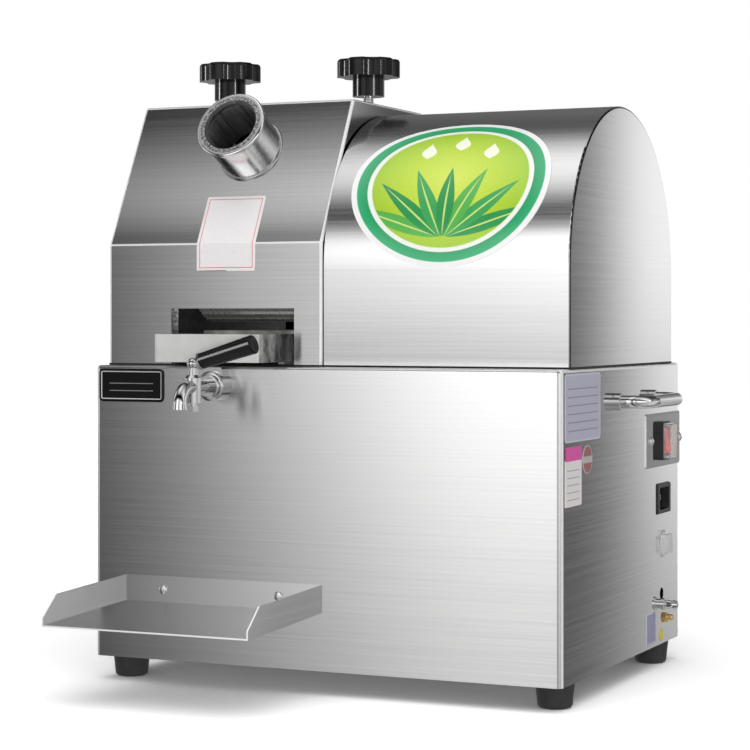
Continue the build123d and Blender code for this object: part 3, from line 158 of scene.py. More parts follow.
def brushed_sheet(
    name, middle, bow=(0.1, 0.15, 0.1), least=(-no_limit,) * 3, most=(no_limit,) * 3, flank=1, highlight_bends=(), seam=None,
    tone=0.76, rough=0.2, fine=(8, 1300), contrast=0.04,
):
    """Brushed stainless sheet: level scratches that stretch reflections across them, on a sheet bowed a little.
    bow is how fast it turns away from its middle, least and most where that ends, flank how much of its rise holds
    for faces towards X, fine how fast scratches change along and across. Each bend in highlight_bends gets a painted
    highlight, a pale and less metallic colour, where the sheet faces within an angle of a direction, some of them
    only past a reach that way. A seam is dark where the sheet faces between two shares of +X."""
    sheet = new_finish(name)
    facing = sheet.facing()
    toward_x = sheet.parts(facing)["X"]
    side_share = 0.6
    sideways = sheet.step("GREATER_THAN", sheet.step("ABSOLUTE", toward_x), side_share)
    scratch = sheet.mix("VECTOR", sideways, (1, 0, 0), (0, 1, 0))
    sheet.set(Metallic=1.0, Anisotropic=0.9, Tangent=sheet.vector("CROSS_PRODUCT", facing, scratch))

    shift = [-centre * turn for centre, turn in zip(middle, bow)]
    turn_away = sheet.vector("MAXIMUM", sheet.vector("MINIMUM", sheet.place(bow, shift), most), least)
    turn_away = sheet.vector("MULTIPLY", turn_away, sheet.mix("VECTOR", sideways, (1, 1, 1), (1, 1, flank)))
    bowed = sheet.vector("NORMALIZE", sheet.vector("ADD", turn_away, facing))

    along, packed = fine
    level, lengthwise = sheet.place((along, packed, packed)), sheet.place((along, along, packed))
    pattern = sheet.mix("VECTOR", sideways, level, lengthwise)
    thin, broad = sheet.noise(pattern, 4, 0.6), sheet.noise(pattern, 2, 0.5, 0.35)
    streak = sheet.step("MULTIPLY", sheet.step("ADD", thin, broad), 0.5)
    streak_range = (0.38, 0.62)
    dark, light = tone * (1 - contrast), tone * (1 + contrast)
    colour = sheet.tint(streak, grey(dark), (light, light, light * 0.995), *streak_range)
    dull = sheet.spread(streak, rough * 0.9, rough * 1.12, *streak_range)
    highlight_tone, highlight_rough, highlight_metal, seam_tone = 0.9, 0.3, 0.35, 0.04
    # Painted highlight: where the sheet faces within the angle of a listed direction it is coloured pale, made less
    # metallic and given a set roughness, to show a bright line.
    if highlight_bends:
        highlight_mask = 0
        for direction, angle, *reach in highlight_bends:
            near = sheet.vector("DOT_PRODUCT", facing, Vector(direction).normalized())
            turned = sheet.step("GREATER_THAN", near, cos(radians(angle)))
            if reach:
                far = sheet.vector("DOT_PRODUCT", sheet.place((1, 1, 1)), direction)
                turned = sheet.step("MULTIPLY", turned, sheet.step("GREATER_THAN", far, reach[0]))
            highlight_mask = sheet.step("MAXIMUM", highlight_mask, turned)
        dull = sheet.mix("FLOAT", highlight_mask, dull, highlight_rough)
        colour = sheet.mix("RGBA", highlight_mask, colour, grey(highlight_tone))
        sheet.set(Metallic=sheet.spread(highlight_mask, 1, highlight_metal, 0, 1))
    if seam:
        past_start, past_end = [sheet.step("GREATER_THAN", toward_x, share) for share in seam]
        colour = sheet.mix("RGBA", sheet.step("SUBTRACT", past_start, past_end), colour, grey(seam_tone))
    sheet.set(Base_Color=colour, Roughness=dull)
    sheet.relief(thin, 0.015, 0.0002, bowed)
    return sheet.owner


def dress(finish, *names):
    """Give CAD nodes a finish."""
    for name in names:
        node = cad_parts[name]
        node.data.materials.clear()
        node.data.materials.append(finish)


# Painted highlight on the front-right upright fold and on the top-right edge
cabinet_highlight_bends = [((0.96, -0.28, 0), 15), ((1, 0, 1), 42)]
dress(brushed_sheet("cabinet_sheet", (0, middle_y, 0.163), (0.1, 0.15, 0.3), highlight_bends=cabinet_highlight_bends), "cabinet_shell")
dress(brushed_sheet("base_sheet", (0, middle_y, 0.02), tone=0.3, rough=0.5, fine=(60, 60)), "base_plate")

# Front badge: a black plate with a raised light border and two plain rules.
# It is pressed from thin aluminium, painted, and glued to the cabinet's front.

cabinet_front = -0.1055
badge_size, badge_corner, badge_thick = (0.0712, 0.0315), 0.0042, 0.0008
badge_place = (-0.1979, cabinet_front, 0.28425)
badge_steps = [(0.0022, 0.0003, 1), (0.0009, -0.0003, 0)]
badge_rules, badge_rule_ends = (0.279, 0.286), (-0.222, -0.174)
to_front = (90, 0, 0)


def printed_film(name, ground, ink=None, across=0, lines=(), ends=(0, 0), thin=0.0006, gloss=0.5):
    """Coated label film, with thin ruled lines at the given heights where there is ink.
    across is 0 for lines along X and 1 for lines along Y, ends are where they start and stop, and gloss is how much
    the film mirrors."""
    film = new_finish(name)
    fleck = film.noise(500, 3)
    colour = film.tint(fleck, [part * 0.93 for part in ground], ground)
    if ink:
        here = film.parts(film.place((1, 1, 1)))
        marks = 0
        for line in lines:
            marks = film.step("MAXIMUM", film.step("COMPARE", here["Z"], line, thin), marks)
        start, end = ends
        span = film.step("COMPARE", here[across], (start + end) / 2, (end - start) / 2)
        colour = film.mix("RGBA", film.step("MULTIPLY", marks, span), colour, ink)
    film.set(Base_Color=colour, Specular_IOR_Level=gloss, Coat_Weight=0.6 * gloss)
    film.set(Roughness=film.spread(fleck, 0.3, 0.42))
    film.relief(fleck, 0.03, 0.0002)
    return film.owner


def flat_plate(name, size, corner, thick, finishes, steps=()):
    """A thin plate lying flat, inset once for each (margin, rise, finish number), its corners rounded before that
    where the margins leave room. Without a corner radius it is round."""
    bpy.ops.object.select_all(action="DESELECT")
    if corner:
        bpy.ops.mesh.primitive_plane_add(size=1)
    else:
        bpy.ops.mesh.primitive_circle_add(vertices=48, radius=0.5, fill_type="NGON")
    plate = bpy.context.object
    plate.name = name
    for finish in finishes:
        plate.data.materials.append(finish)
    bpy.ops.object.mode_set(mode="EDIT")
    bpy.ops.mesh.select_all(action="SELECT")
    bpy.ops.transform.resize(value=(*size, 1))
    early = corner > sum(margin for margin, _, _ in steps)
    if early:
        bpy.ops.mesh.bevel(offset=corner, segments=6, affect="VERTICES")
        bpy.ops.mesh.select_all(action="SELECT")
    for margin, rise, number in steps:
        bpy.ops.mesh.inset(thickness=margin, depth=rise)
        plate.active_material_index = number
        bpy.ops.object.material_slot_assign()
    if corner and not early:
        bpy.ops.mesh.select_all(action="DESELECT")
        bpy.ops.object.mode_set(mode="OBJECT")
        for point in plate.data.vertices:
            point.select = abs(point.co.x) > size[0] * 0.499 and abs(point.co.y) > size[1] * 0.499
        bpy.ops.object.mode_set(mode="EDIT")
        bpy.ops.mesh.bevel(offset=corner, segments=6, affect="VERTICES")
    bpy.ops.object.mode_set(mode="OBJECT")
    body = plate.modifiers.new("thickness", "SOLIDIFY")
    body.thickness = thick
    body.offset = 1
    bpy.ops.object.modifier_apply(modifier=body.name)
    return plate


def stand(piece, place, turn):
    """Turn a piece and move it to its place, keeping both in its mesh."""
    bpy.ops.object.select_all(action="DESELECT")
    piece.select_set(True)
    bpy.context.view_layer.objects.active = piece
    piece.location = place
    piece.rotation_euler = [radians(angle) for angle in turn]
    bpy.ops.object.transform_apply(location=True, rotation=True, scale=True)


black_film = printed_film(
    "badge_black", grey(0.004), grey(0.2), 0, badge_rules, badge_rule_ends, thin=0.0004, gloss=0.12
)
pale_film = printed_film("badge_border", grey(0.5))
badge = flat_plate("front_badge", badge_size, badge_corner, badge_thick, [black_film, pale_film], badge_steps)
stand(badge, badge_place, to_front)
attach(badge, "cabinet")

# Labels on the right side: a ruled data plate, a paper tag with a coloured head, a round seal with a pale band,
# a small square and a dot. All are coated film or paper with a self-adhesive back, pressed on to the sheet.

cabinet_side = 0.238
film_thick, top_film_thick = 0.0003, 0.00035
to_right = (90, 0, 90)


def side_label(name, size, corner, thick, finishes, at, steps=()):
    """A label on the cabinet's right side, with its middle at a Y and a Z."""
    label = flat_plate(name, size, corner, thick, finishes, steps)
    stand(label, (cabinet_side, *at), to_right)
    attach(label, "cabinet")
    return label


data_rules = [0.248 + 0.0075 * row for row in range(6)]
data_film = printed_film(
    "data_film", (0.5, 0.49, 0.62), (0.22, 0.21, 0.28), 1, data_rules, (-0.09, -0.007), thin=0.0005
)
data_edge = printed_film("data_edge", (0.64, 0.63, 0.75))
data_plate = side_label(
    "data_plate", (0.097, 0.061), 0.004, 0.0004, [data_edge, data_film], (-0.0485, 0.2685), [(0.0016, 0, 1)]
)

tag_width, tag_y = 0.044, -0.0745
tag_rules = [0.187 + 0.0065 * row for row in range(5)]
tag_film = printed_film(
    "tag_film", (0.93, 0.88, 0.88), (0.3, 0.3, 0.32), 1, tag_rules, (-0.091, -0.058), thin=0.00035
)
side_label("tag_sheet", (tag_width, 0.053), 0.001, film_thick, [tag_film], (tag_y, 0.2075))
tag_pink = printed_film("tag_pink", (0.82, 0.04, 0.4))
side_label("tag_head", (tag_width, 0.0125), 0.001, top_film_thick, [tag_pink], (tag_y, 0.22775))

seal_across, seal_at = 0.026, (-0.036, 0.2205)
seal_red = printed_film("seal_red", (0.34, 0.07, 0.07))
seal_pale = printed_film("seal_pale", (0.55, 0.5, 0.52))
round_edge = [(0.0009, 0, 1)]
side_label("round_seal", (seal_across, seal_across), 0, film_thick, [seal_pale, seal_red], seal_at, round_edge)
side_label("seal_band", (seal_across, 0.006), 0.0008, top_film_thick, [seal_pale], seal_at)

square_film = printed_film("square_film", (0.33, 0.32, 0.5))
square_label = side_label(
    "square_label", (0.031, 0.031), 0.0015, film_thick, [data_edge, square_film], (0.157, 0.0425), [(0.0015, 0, 1)]
)
yellow_film = printed_film("dot_yellow", (0.9, 0.78, 0.01))
yellow_edge = printed_film("dot_edge", (0.72, 0.55, 0.01))
side_label("yellow_dot", (0.012, 0.012), 0, film_thick, [yellow_edge, yellow_film], (0.1905, 0.032), round_edge)

# Feet, seal and juice pipe: black moulded rubber, each foot held by a zinc-plated screw from inside the cabinet.
# The flat seal lies on the deck, and its rubber is made nearly black as painted shade for the dark gap line under
# both covers.


def moulded_rubber(name, tone=0.018):
    """Matte black rubber with a fine moulded grain and a little dust."""
    rubber = new_finish(name)
    grain, dust = rubber.noise(900, 3), rubber.noise(60)
    rubber.set(Base_Color=rubber.tint(dust, grey(tone), (tone * 1.9, tone * 1.9, tone * 1.8)))
    rubber.set(Roughness=rubber.spread(grain, 0.5, 0.68))
    rubber.relief(grain, 0.25, 0.0003)
    return rubber.owner


def plated_steel(name, tone=(0.62, 0.62, 0.6), rough=0.3):
    """Zinc-plated or turned small metal, faintly mottled."""
    plate = new_finish(name)
    cloud = plate.noise(160)
    plate.set(Metallic=1.0, Base_Color=plate.tint(cloud, [part * 0.82 for part in tone], tone))
    plate.set(Roughness=plate.spread(cloud, rough * 0.8, rough * 1.3))
    plate.relief(cloud, 0.06, 0.0003)
    return plate.owner


dress(moulded_rubber("black_rubber"), "rubber_feet", "juice_pipe")
# Painted shade: the seal is darker than the other rubber so that it stands for the shadow gap under the covers
dress(moulded_rubber("seal_rubber_painted_shade", 0.003), "cover_seal")
dress(plated_steel("zinc_plate"), "foot_screws", "tie_bar_nuts", "inlet_pins", "panel_screws")

# Mill: two cheeks of steel plate joined by tie bars, three fluted rollers in bronze bushes, and their gears.
# The cheeks are rough cut and scaled, their forward ends pale and speckled, partly painted light, and their other
# faces near black, partly painted shade; the rollers are turned and milled, the gears dark and oiled.


def sawn_plate(name, scale_and_shade_tones, cut_and_lit_tones):
    """Thick rolled plate: dark mill scale on its faces, darkened further as painted shade, and pale, speckled saw
    cuts where it faces forward, brightened as painted light.
    """
    plate = new_finish(name)
    pits = plate.noise(420, 6, 0.75)
    # Painted light on forward faces and painted shade on the rest, laid over real saw cuts and mill scale
    cut_end_lit = plate.step("LESS_THAN", plate.parts(plate.facing())["Y"], -0.8)
    scale, end = plate.tint(pits, *scale_and_shade_tones, 0.4, 0.62), plate.tint(pits, *cut_and_lit_tones, 0.44, 0.56)
    plate.set(Metallic=0.1, Base_Color=plate.mix("RGBA", cut_end_lit, scale, end), Roughness=plate.spread(pits, 0.55, 0.3))
    plate.relief(pits, 0.5, 0.0008)
    return plate.owner


def turned_steel(name, across, low, high, rough, metal=1.0):
    """Turned or milled steel with tool marks, across giving how densely they pack along X, Y and Z.
    metal is less than 1 where dried juice dulls it."""
    steel = new_finish(name)
    marks = steel.noise(across)
    steel.set(Metallic=metal, Base_Color=steel.tint(marks, low, high))
    steel.set(Roughness=steel.spread(marks, rough * 0.8, rough * 1.25))
    steel.relief(marks, 0.12, 0.0003)
    return steel.owner


rolled_plate = sawn_plate("rolled_plate", (grey(0.015), grey(0.06)), (grey(0.3), grey(1.0)))
dress(rolled_plate, "mill_plate_left", "mill_plate_right")
lathe_marks = (700, 30, 30)
turned_roller = turned_steel("turned_roller", lathe_marks, (0.45, 0.45, 0.44), (0.72, 0.72, 0.7), 0.3, 0.6)
dress(turned_roller, "top_roller", "front_roller", "rear_roller")
turned_shaft = turned_steel("turned_shaft", lathe_marks, grey(0.42), (0.66, 0.66, 0.65), 0.3)
dress(turned_shaft, "tie_bars", "output_shaft", "drive_coupling")
milled_bar = turned_steel("milled_bar", (40, 500, 500), grey(0.45), (0.62, 0.62, 0.61), 0.35)
dress(milled_bar, "turn_plate", "stud_blocks")
oiled_gear = turned_steel("oiled_gear", (50, 50, 50), (0.14, 0.14, 0.145), (0.26, 0.26, 0.265), 0.32)
dress(oiled_gear, "top_gear", "front_gear", "rear_gear")
dress(turned_steel("turned_bronze", (600, 60, 60), (0.42, 0.27, 0.12), (0.62, 0.42, 0.2), 0.3), "roller_bushes")

# Drive: a cast gearbox and a finned motor under the dome, with a run capacitor in a white case.
# Castings and the bent stand that they are bolted to are in thick machine paint.


def machine_paint(name, low, high):
    """Thick machine paint with a slight orange peel."""
    paint = new_finish(name)
    peel, wear = paint.noise(320, 2, 0.5), paint.noise(25, 5)
    paint.set(Base_Color=paint.tint(wear, low, high), Roughness=paint.spread(wear, 0.32, 0.48))
    paint.relief(peel, 0.15, 0.0004)
    return paint.owner


dress(machine_paint("grey_casting", (0.12, 0.13, 0.14), (0.18, 0.19, 0.2)), "gearbox", "drive_stand")
dress(machine_paint("motor_paint", (0.045, 0.06, 0.08), (0.07, 0.09, 0.115)), "motor")
dress(machine_paint("capacitor_case", (0.66, 0.66, 0.64), (0.76, 0.76, 0.74)), "run_capacitor")

# Juice tray, strainer and waste chute: thin stainless sheet, folded, spot welded and blasted to a pale satin.
# The tray slides on its rails, and its side facing X is painted with dark, mottled shade and reflection; the strainer
# and the chute are stained by juice.

satin_tones = (0.58, 0.58, 0.57), (0.68, 0.68, 0.67)


def blasted_sheet(name, low, high, painted_side_shade=None):
    """Thin sheet blasted to a pale satin, with a fine even grain, and painted shade and reflection in two mottled
    tones where it faces X.
    """
    sheet = new_finish(name)
    grain = sheet.noise(900, 3)
    colour = sheet.tint(sheet.noise(45), low, high)
    # Painted shade and reflection: faces turned towards X mix to a dark, mottled tone.
    if painted_side_shade:
        worn = sheet.spread(sheet.parts(sheet.facing())["X"], 0, 1, 0.2, 0.45)
        streak = sheet.tint(sheet.noise((34, 34, 14), 5, 0.7), *painted_side_shade, 0.4, 0.6)
        colour = sheet.mix("RGBA", worn, colour, streak)
    sheet.set(Metallic=0.35, Base_Color=colour, Roughness=sheet.spread(grain, 0.38, 0.5))
    sheet.relief(grain, 0.06, 0.0002)
    return sheet.owner


dress(blasted_sheet("tray_sheet", *satin_tones, painted_side_shade=(grey(0.05), (0.5, 0.5, 0.49))), "juice_tray")
dress(blasted_sheet("blasted_sheet", *satin_tones), "tray_rails", "juice_cup")
dress(blasted_sheet("stained_sheet", (0.2, 0.2, 0.19), (0.9, 0.9, 0.87)), "juice_strainer", "waste_chute")

# Head cover: brushed sheet folded over the mill, with a leaning front that takes the feed tube.
# It is brushed level all round, its crease, top fold and end edges carry a painted highlight, and it lifts off once
# both knobs are undone.

lean_angle = 26.89
lean = radians(lean_angle)
crease_way, top_way = lean / 2, lean / 2 + pi / 4
# Painted highlight along the crease, the top fold and both end edges of the head
head_highlight_bends = [((0, -cos(crease_way), sin(crease_way)), 12), ((0, -cos(top_way), sin(top_way)), 30)]
head_highlight_bends += [((side, -cos(slope), sin(slope)), 42) for side in (-1, 1) for slope in (0, lean)]
head_sheet = brushed_sheet(
    "head_sheet", (-0.122, middle_y, 0.428), (0.1, 0.15, 6.3), (-no_limit, -no_limit, 0), (0.003, no_limit, no_limit),
    flank=0, highlight_bends=head_highlight_bends, tone=0.6, rough=0.16, fine=(8, 1200), contrast=0.055,
)
dress(head_sheet, "head_cover")

# Head label: a bare white film with a thin red border on the head's front.
# It is glued on and folded over the crease where the front starts to lean.

crease = Vector((-0.1085, -0.0813, 0.4197))
fold_low, fold_high = 0.0262, 0.0513
head_film = printed_film("head_film", (0.83, 0.8, 0.81))
head_border = printed_film("head_border", (0.7, 0.09, 0.07))
border_steps = [(0.0028, 0, 1), (0.0007, 0, 0)]
head_label = flat_plate(
    "head_label", (0.063, fold_low + fold_high), 0.0015, film_thick, [head_film, head_border], border_steps
)
bpy.ops.object.mode_set(mode="EDIT")
bpy.ops.mesh.select_all(action="SELECT")
bpy.ops.transform.translate(value=(0, (fold_high - fold_low) / 2, 0))
bpy.ops.mesh.bisect(plane_co=(0, 0, 0), plane_no=(0, 1, 0))
bpy.ops.mesh.select_all(action="DESELECT")
bpy.ops.object.mode_set(mode="OBJECT")
for corner in head_label.data.vertices:
    corner.select = corner.co.y > 0.0001
bpy.ops.object.mode_set(mode="EDIT")
bpy.ops.transform.rotate(value=lean, orient_axis="X", center_override=(0, 0, 0))
bpy.ops.object.mode_set(mode="OBJECT")
stand(head_label, crease, to_front)
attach(head_label, "head_cover")

# Feed tube: a piece of polished stainless pipe with a thick rolled rim.
# It is welded square into the leaning face, cane has scored its bore lengthwise, and the bore is coloured darker than
# the outside.

tube_base = Vector((-0.106, -0.03472, 0.51154))
tube_turn = (90 - lean_angle, 0, 0)
tube_bore, tube_rim, tube_length, end_depth = 0.0284, 0.0028, 0.048, 0.0006


def feed_pipe(name):
    """Polished pipe whose bore is dark and streaked lengthwise and whose end is bright and mottled."""
    pipe = new_finish(name)
    here = pipe.node("TexCoord").outputs["Object"]
    turn = [radians(angle) for angle in tube_turn]
    tube_way = {"Vector": here, "Location": tube_base, "Rotation": turn}
    along = pipe.node("Mapping", tube_way, vector_type="TEXTURE").outputs["Vector"]
    across_x, across_y, out = pipe.parts(along)
    reach = pipe.vector("LENGTH", pipe.node("CombineXYZ", {"X": across_x, "Y": across_y}).outputs["Vector"])
    inside = pipe.step("LESS_THAN", reach, tube_bore)
    at_end = pipe.step("GREATER_THAN", out, tube_length - end_depth)
    in_rim = pipe.step("LESS_THAN", reach, tube_bore + tube_rim)
    lengthwise = pipe.node("Mapping", {"Vector": along, "Scale": (260, 260, 14)}).outputs["Vector"]
    streak, wipe, speck = pipe.noise(lengthwise, 5, 0.7), pipe.noise(240, 5, 0.65), pipe.noise(520, 4, 0.7)
    outer, bore = pipe.tint(wipe, grey(0.78), grey(0.94)), pipe.tint(streak, grey(0.2), grey(0.6))
    rim = pipe.tint(speck, grey(0.12), grey(1), 0.4, 0.62)
    colour = pipe.mix("RGBA", inside, outer, bore)
    colour = pipe.mix("RGBA", pipe.step("MULTIPLY", at_end, in_rim), colour, rim)
    worn = pipe.step("MULTIPLY_ADD", inside, 0.25, pipe.spread(wipe, 0.1, 0.24))
    pipe.set(Metallic=1.0, Base_Color=colour, Roughness=worn)
    pipe.relief(wipe, 0.08, 0.0005)
    return pipe.owner


dress(feed_pipe("feed_pipe"), "feed_tube")

# Weld bead: the ripple of stainless weld metal that joins the foot of the feed tube to the leaning face.
# It is left bright and a little uneven, with small ripples all the way round.

bead_r, bead_thick, bead_ripples, ripple_rise = 0.0321, 0.0014, 160, 0.0002
bpy.ops.object.select_all(action="DESELECT")
bpy.ops.mesh.primitive_torus_add(
    major_radius=bead_r, minor_radius=bead_thick, major_segments=bead_ripples, minor_segments=10
)
weld_bead = bpy.context.object
weld_bead.name = "weld_bead"
for point in weld_bead.data.vertices:
    ripple = round((atan2(point.co.y, point.co.x) / (2 * pi) + 1) * bead_ripples)
    point.select = ripple % 4 < 2
bpy.ops.object.mode_set(mode="EDIT")
bpy.ops.transform.shrink_fatten(value=ripple_rise)
bpy.ops.object.mode_set(mode="OBJECT")
bpy.ops.object.shade_smooth()
stand(weld_bead, tube_base, tube_turn)
weld_bead.data.materials.append(plated_steel("weld_metal", (0.6, 0.6, 0.59), 0.24))
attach(weld_bead, "head_cover")

# Star knobs: glossy black plastic moulded round zinc-plated steel studs, and the same plastic on the tap's grip.
# The studs screw into the mill through the head's top, and a few turns of thread show below each knob.

thread_r, thread_pitch, thread_turns, thread_base = 0.0049, 0.0015, 6, 0.5612


def glossy_moulding(name, tone, rough=0.16):
    """Glossy moulded plastic with slight flow unevenness."""
    plastic = new_finish(name)
    flow = plastic.noise(70, 3, 0.5)
    plastic.set(Specular_IOR_Level=0.2, Base_Color=plastic.tint(flow, tone, [part * 1.5 for part in tone]))
    plastic.set(Roughness=plastic.spread(flow, rough * 0.8, rough * 1.4))
    plastic.relief(flow, 0.03, 0.0005)
    return plastic.owner


dress(glossy_moulding("black_moulding", grey(0.004), 0.12), "left_knob", "right_knob", "lever_grip")
stud_plate = plated_steel("knob_stud_plate", (0.66, 0.66, 0.64), 0.28)
dress(stud_plate, "left_knob_stud", "right_knob_stud")
for side, stud_x in (("left", -0.1868), ("right", -0.03)):
    bpy.ops.object.select_all(action="DESELECT")
    bpy.ops.mesh.primitive_torus_add(
        major_radius=thread_r, minor_radius=thread_pitch / 3, major_segments=32, minor_segments=4
    )
    thread = bpy.context.object
    thread.name = f"{side}_stud_thread"
    turns = thread.modifiers.new("turns", "ARRAY")
    turns.count = thread_turns
    turns.use_relative_offset = False
    turns.use_constant_offset = True
    turns.constant_offset_displace = (0, 0, thread_pitch)
    bpy.ops.object.modifier_apply(modifier=turns.name)
    bpy.ops.object.shade_smooth()
    stand(thread, (stud_x, middle_y, thread_base), (0, 0, 0))
    thread.data.materials.append(stud_plate)
    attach(thread, f"{side}_knob")

# Dome cover: one brushed stainless sheet rolled over the drive, brushed along its length.
# A flat end is welded in, and its seam shows as a dark line round the arch.

dome_most = (no_limit, no_limit, 0.01)
dome_sheet = brushed_sheet(
    "dome_sheet", (0.116, -0.015, 0.395), (-0.1, 0.15, 1.0), most=dome_most, seam=(0.545, 0.997), rough=0.16
)
dress(dome_sheet, "dome_cover")

# Dome decal: an oval of printed film with a self-adhesive back, rolled on to the dome.
# It is white at its edge, then has a green band, and a lime field with a fan of long leaves and drops above it.

decal_half = (0.098, 0.083)
dome_axis, dome_r, decal_rise = Vector((0.113, middle_y, 0.3947)), 0.1551, 30.7
field_edge = 0.78
pale_lime, lime, deep_lime = (0.66, 0.78, 0.1), (0.5, 0.68, 0.04), (0.36, 0.58, 0.03)
ring_white, edge_white = (0.84, 0.87, 0.8), (0.86, 0.87, 0.86)
deep_green, band_green = (0.02, 0.33, 0.13), (0.03, 0.42, 0.17)
oval_bands = [
    (0, pale_lime), (0.45, lime), (field_edge, deep_lime), (0.79, ring_white), (0.83, ring_white),
    (0.835, deep_green), (0.94, band_green), (0.945, edge_white),
]
leaf_greens, vein_lime = [(0.03, 0.3, 0.08), (0.1, 0.44, 0.08), (0.05, 0.37, 0.1)], (0.55, 0.74, 0.2)
drop_pale = (0.88, 0.92, 0.72)
# Leaf, vein and drop each have a length, a width and a fatness. Leaves get shorter by pairs towards the middle
leaf_shape, vein_shape, drop_shape = (0.98, 0.085, 0.8), (0.9, 0.01, 0.9), (0.26, 0.075, 1.5)
leaf_angles, leaf_foot, leaf_step = (22, 158, 45, 135, 68, 112, 90), (0.05, -0.66), 0.04
drop_places, drop_angle = ((-0.3, 0.6), (0.02, 0.72), (0.34, 0.58)), -90


def leaf_film(name):
    """The printed oval: bands by distance from its middle, leaves and drops drawn from its own UV map."""
    film = new_finish(name)
    film.set(Coat_Weight=0.4, Roughness=0.28)
    flat = film.node("UVMap").outputs["UV"]
    oval = film.node("Mapping", {"Vector": flat, "Location": (-1, -1, 0), "Scale": (2, 2, 1)}).outputs["Vector"]
    reach = film.vector("LENGTH", oval)
    colour = film.graded(reach, oval_bands)
    field = film.step("LESS_THAN", reach, field_edge)

    def blade(foot, angle, length, width, fat):
        """Mask of one pointed leaf or drop from its foot, fat moving its widest place towards the foot."""
        leaf_way = {"Vector": oval, "Location": (*foot, 0), "Rotation": (0, 0, radians(angle))}
        along, aside, _ = film.parts(film.node("Mapping", leaf_way, vector_type="TEXTURE").outputs["Vector"])
        share = film.step("DIVIDE", along, length)
        swell = film.step("MULTIPLY", film.step("POWER", film.step("MAXIMUM", share, 0), fat), pi)
        edge = film.step("MULTIPLY", film.step("SINE", swell), width)
        inside = film.step("LESS_THAN", film.step("ABSOLUTE", aside), edge)
        begun = film.step("MULTIPLY", film.step("GREATER_THAN", share, 0), film.step("LESS_THAN", share, 1))
        return film.step("MULTIPLY", film.step("MULTIPLY", inside, begun), field)

    for number, angle in enumerate(leaf_angles):
        foot_spread, foot_height = leaf_foot
        foot = (foot_spread * cos(radians(angle)), foot_height)
        for (length, width, fat), ink in ((leaf_shape, leaf_greens[number % 3]), (vein_shape, vein_lime)):
            mask = blade(foot, angle, length - leaf_step * (number // 2), width, fat)
            colour = film.mix("RGBA", mask, colour, ink)
    for place in drop_places:
        colour = film.mix("RGBA", blade(place, drop_angle, *drop_shape), colour, drop_pale)
    fleck = film.tint(film.noise(700, 2, 0.5), grey(0.92), grey(1))
    film.set(Base_Color=film.mix("RGBA", 1, colour, fleck, blend_type="MULTIPLY"))
    return film.owner


bpy.ops.object.select_all(action="DESELECT")
bpy.ops.mesh.primitive_circle_add(vertices=64, radius=1, fill_type="TRIFAN")
dome_decal = bpy.context.object
dome_decal.name = "dome_decal"
bpy.ops.object.mode_set(mode="EDIT")
bpy.ops.mesh.select_all(action="SELECT")
bpy.ops.transform.resize(value=(*decal_half, 1))
bpy.ops.mesh.subdivide(number_cuts=13)
bpy.ops.object.mode_set(mode="OBJECT")
stand(dome_decal, (0, 0, 0), to_front)
roll = dome_decal.modifiers.new("roll", "SIMPLE_DEFORM")
roll.deform_method = "BEND"
roll.deform_axis = "X"
roll.angle = 2 * decal_half[1] / dome_r
bpy.ops.object.modifier_apply(modifier=roll.name)
film = dome_decal.modifiers.new("film", "SOLIDIFY")
film.thickness = film_thick
film.offset = 0
bpy.ops.object.modifier_apply(modifier=film.name)
stand(dome_decal, (0, -dome_r, 0), (0, 0, 0))
stand(dome_decal, dome_axis, (-decal_rise, 0, 0))
bpy.ops.object.shade_smooth_by_angle(angle=radians(30))
dome_decal.data.materials.append(leaf_film("leaf_film"))
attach(dome_decal, "cabinet")

# Tap: a chromed brass body, held in the cabinet's front by a nut, with a bonnet over its plug.
# The lever turns the plug and carries a ball cap and the black grip.


def polished_metal(name, tone, rough):
    """Polished or chromed metal with faint wiping marks."""
    metal = new_finish(name)
    wipe = metal.noise(90, 4, 0.65)
    metal.set(Metallic=1.0, Base_Color=metal.tint(wipe, grey(tone * 0.9), grey(tone)))
    metal.set(Roughness=metal.spread(wipe, rough * 0.7, rough * 1.5))
    metal.relief(wipe, 0.04, 0.0004)
    return metal.owner


dress(polished_metal("tap_chrome", 0.62, 0.05), "tap_body", "tap_nuts", "tap_bonnet", "tap_lever")

# Cup shelf: one brushed stainless sheet folded up at three sides, with a painted highlight on its front lip and its
# up-and-forward edges.
# Its back is screwed to the cabinet's front below the tap.

shelf_lip = 0.2515
# Painted highlight on the front lip and on faces turned up and forward
shelf_highlight_edges = [((0, -1, 0), 20, shelf_lip), ((0, -1, 1), 40)]
shelf_sheet = brushed_sheet(
    "shelf_sheet", (-0.1, -0.18, 0.08), highlight_bends=shelf_highlight_edges, tone=0.76, rough=0.22, contrast=0.015
)
dress(shelf_sheet, "cup_shelf")

# Panel screws: zinc-plated steel pan heads with a cross recess.
# Two hold the shelf's back to the cabinet's front and two the switch plate to its side.

head_r, head_h, head_round = 0.0044, 0.0038, 0.0016
slot_size, slot_round = (0.0044, 0.0009, 0.0024), 0.0002
shelf_back, shelf_screw_z = -0.107, 0.0905
plate_face, plate_screw_z = 0.24, 0.2275
screw_places = [((x, shelf_back, shelf_screw_z), to_front) for x in (-0.161, -0.0385)]
screw_places += [((plate_face, y, plate_screw_z), to_right) for y in (0.144, 0.24)]
bpy.ops.object.select_all(action="DESELECT")
bpy.ops.mesh.primitive_cylinder_add(vertices=40, radius=head_r, depth=head_h, location=(0, 0, head_h / 2))
screw_head = bpy.context.object
screw_head.name = "panel_screw_heads"
bpy.ops.object.transform_apply(location=True)
for edge in screw_head.data.edges:
    edge.select = all(screw_head.data.vertices[end].co.z > head_h * 0.9 for end in edge.vertices)
bpy.ops.object.mode_set(mode="EDIT")
bpy.ops.mesh.select_mode(type="EDGE")
bpy.ops.mesh.bevel(offset=head_round, segments=5)
bpy.ops.mesh.select_mode(type="VERT")
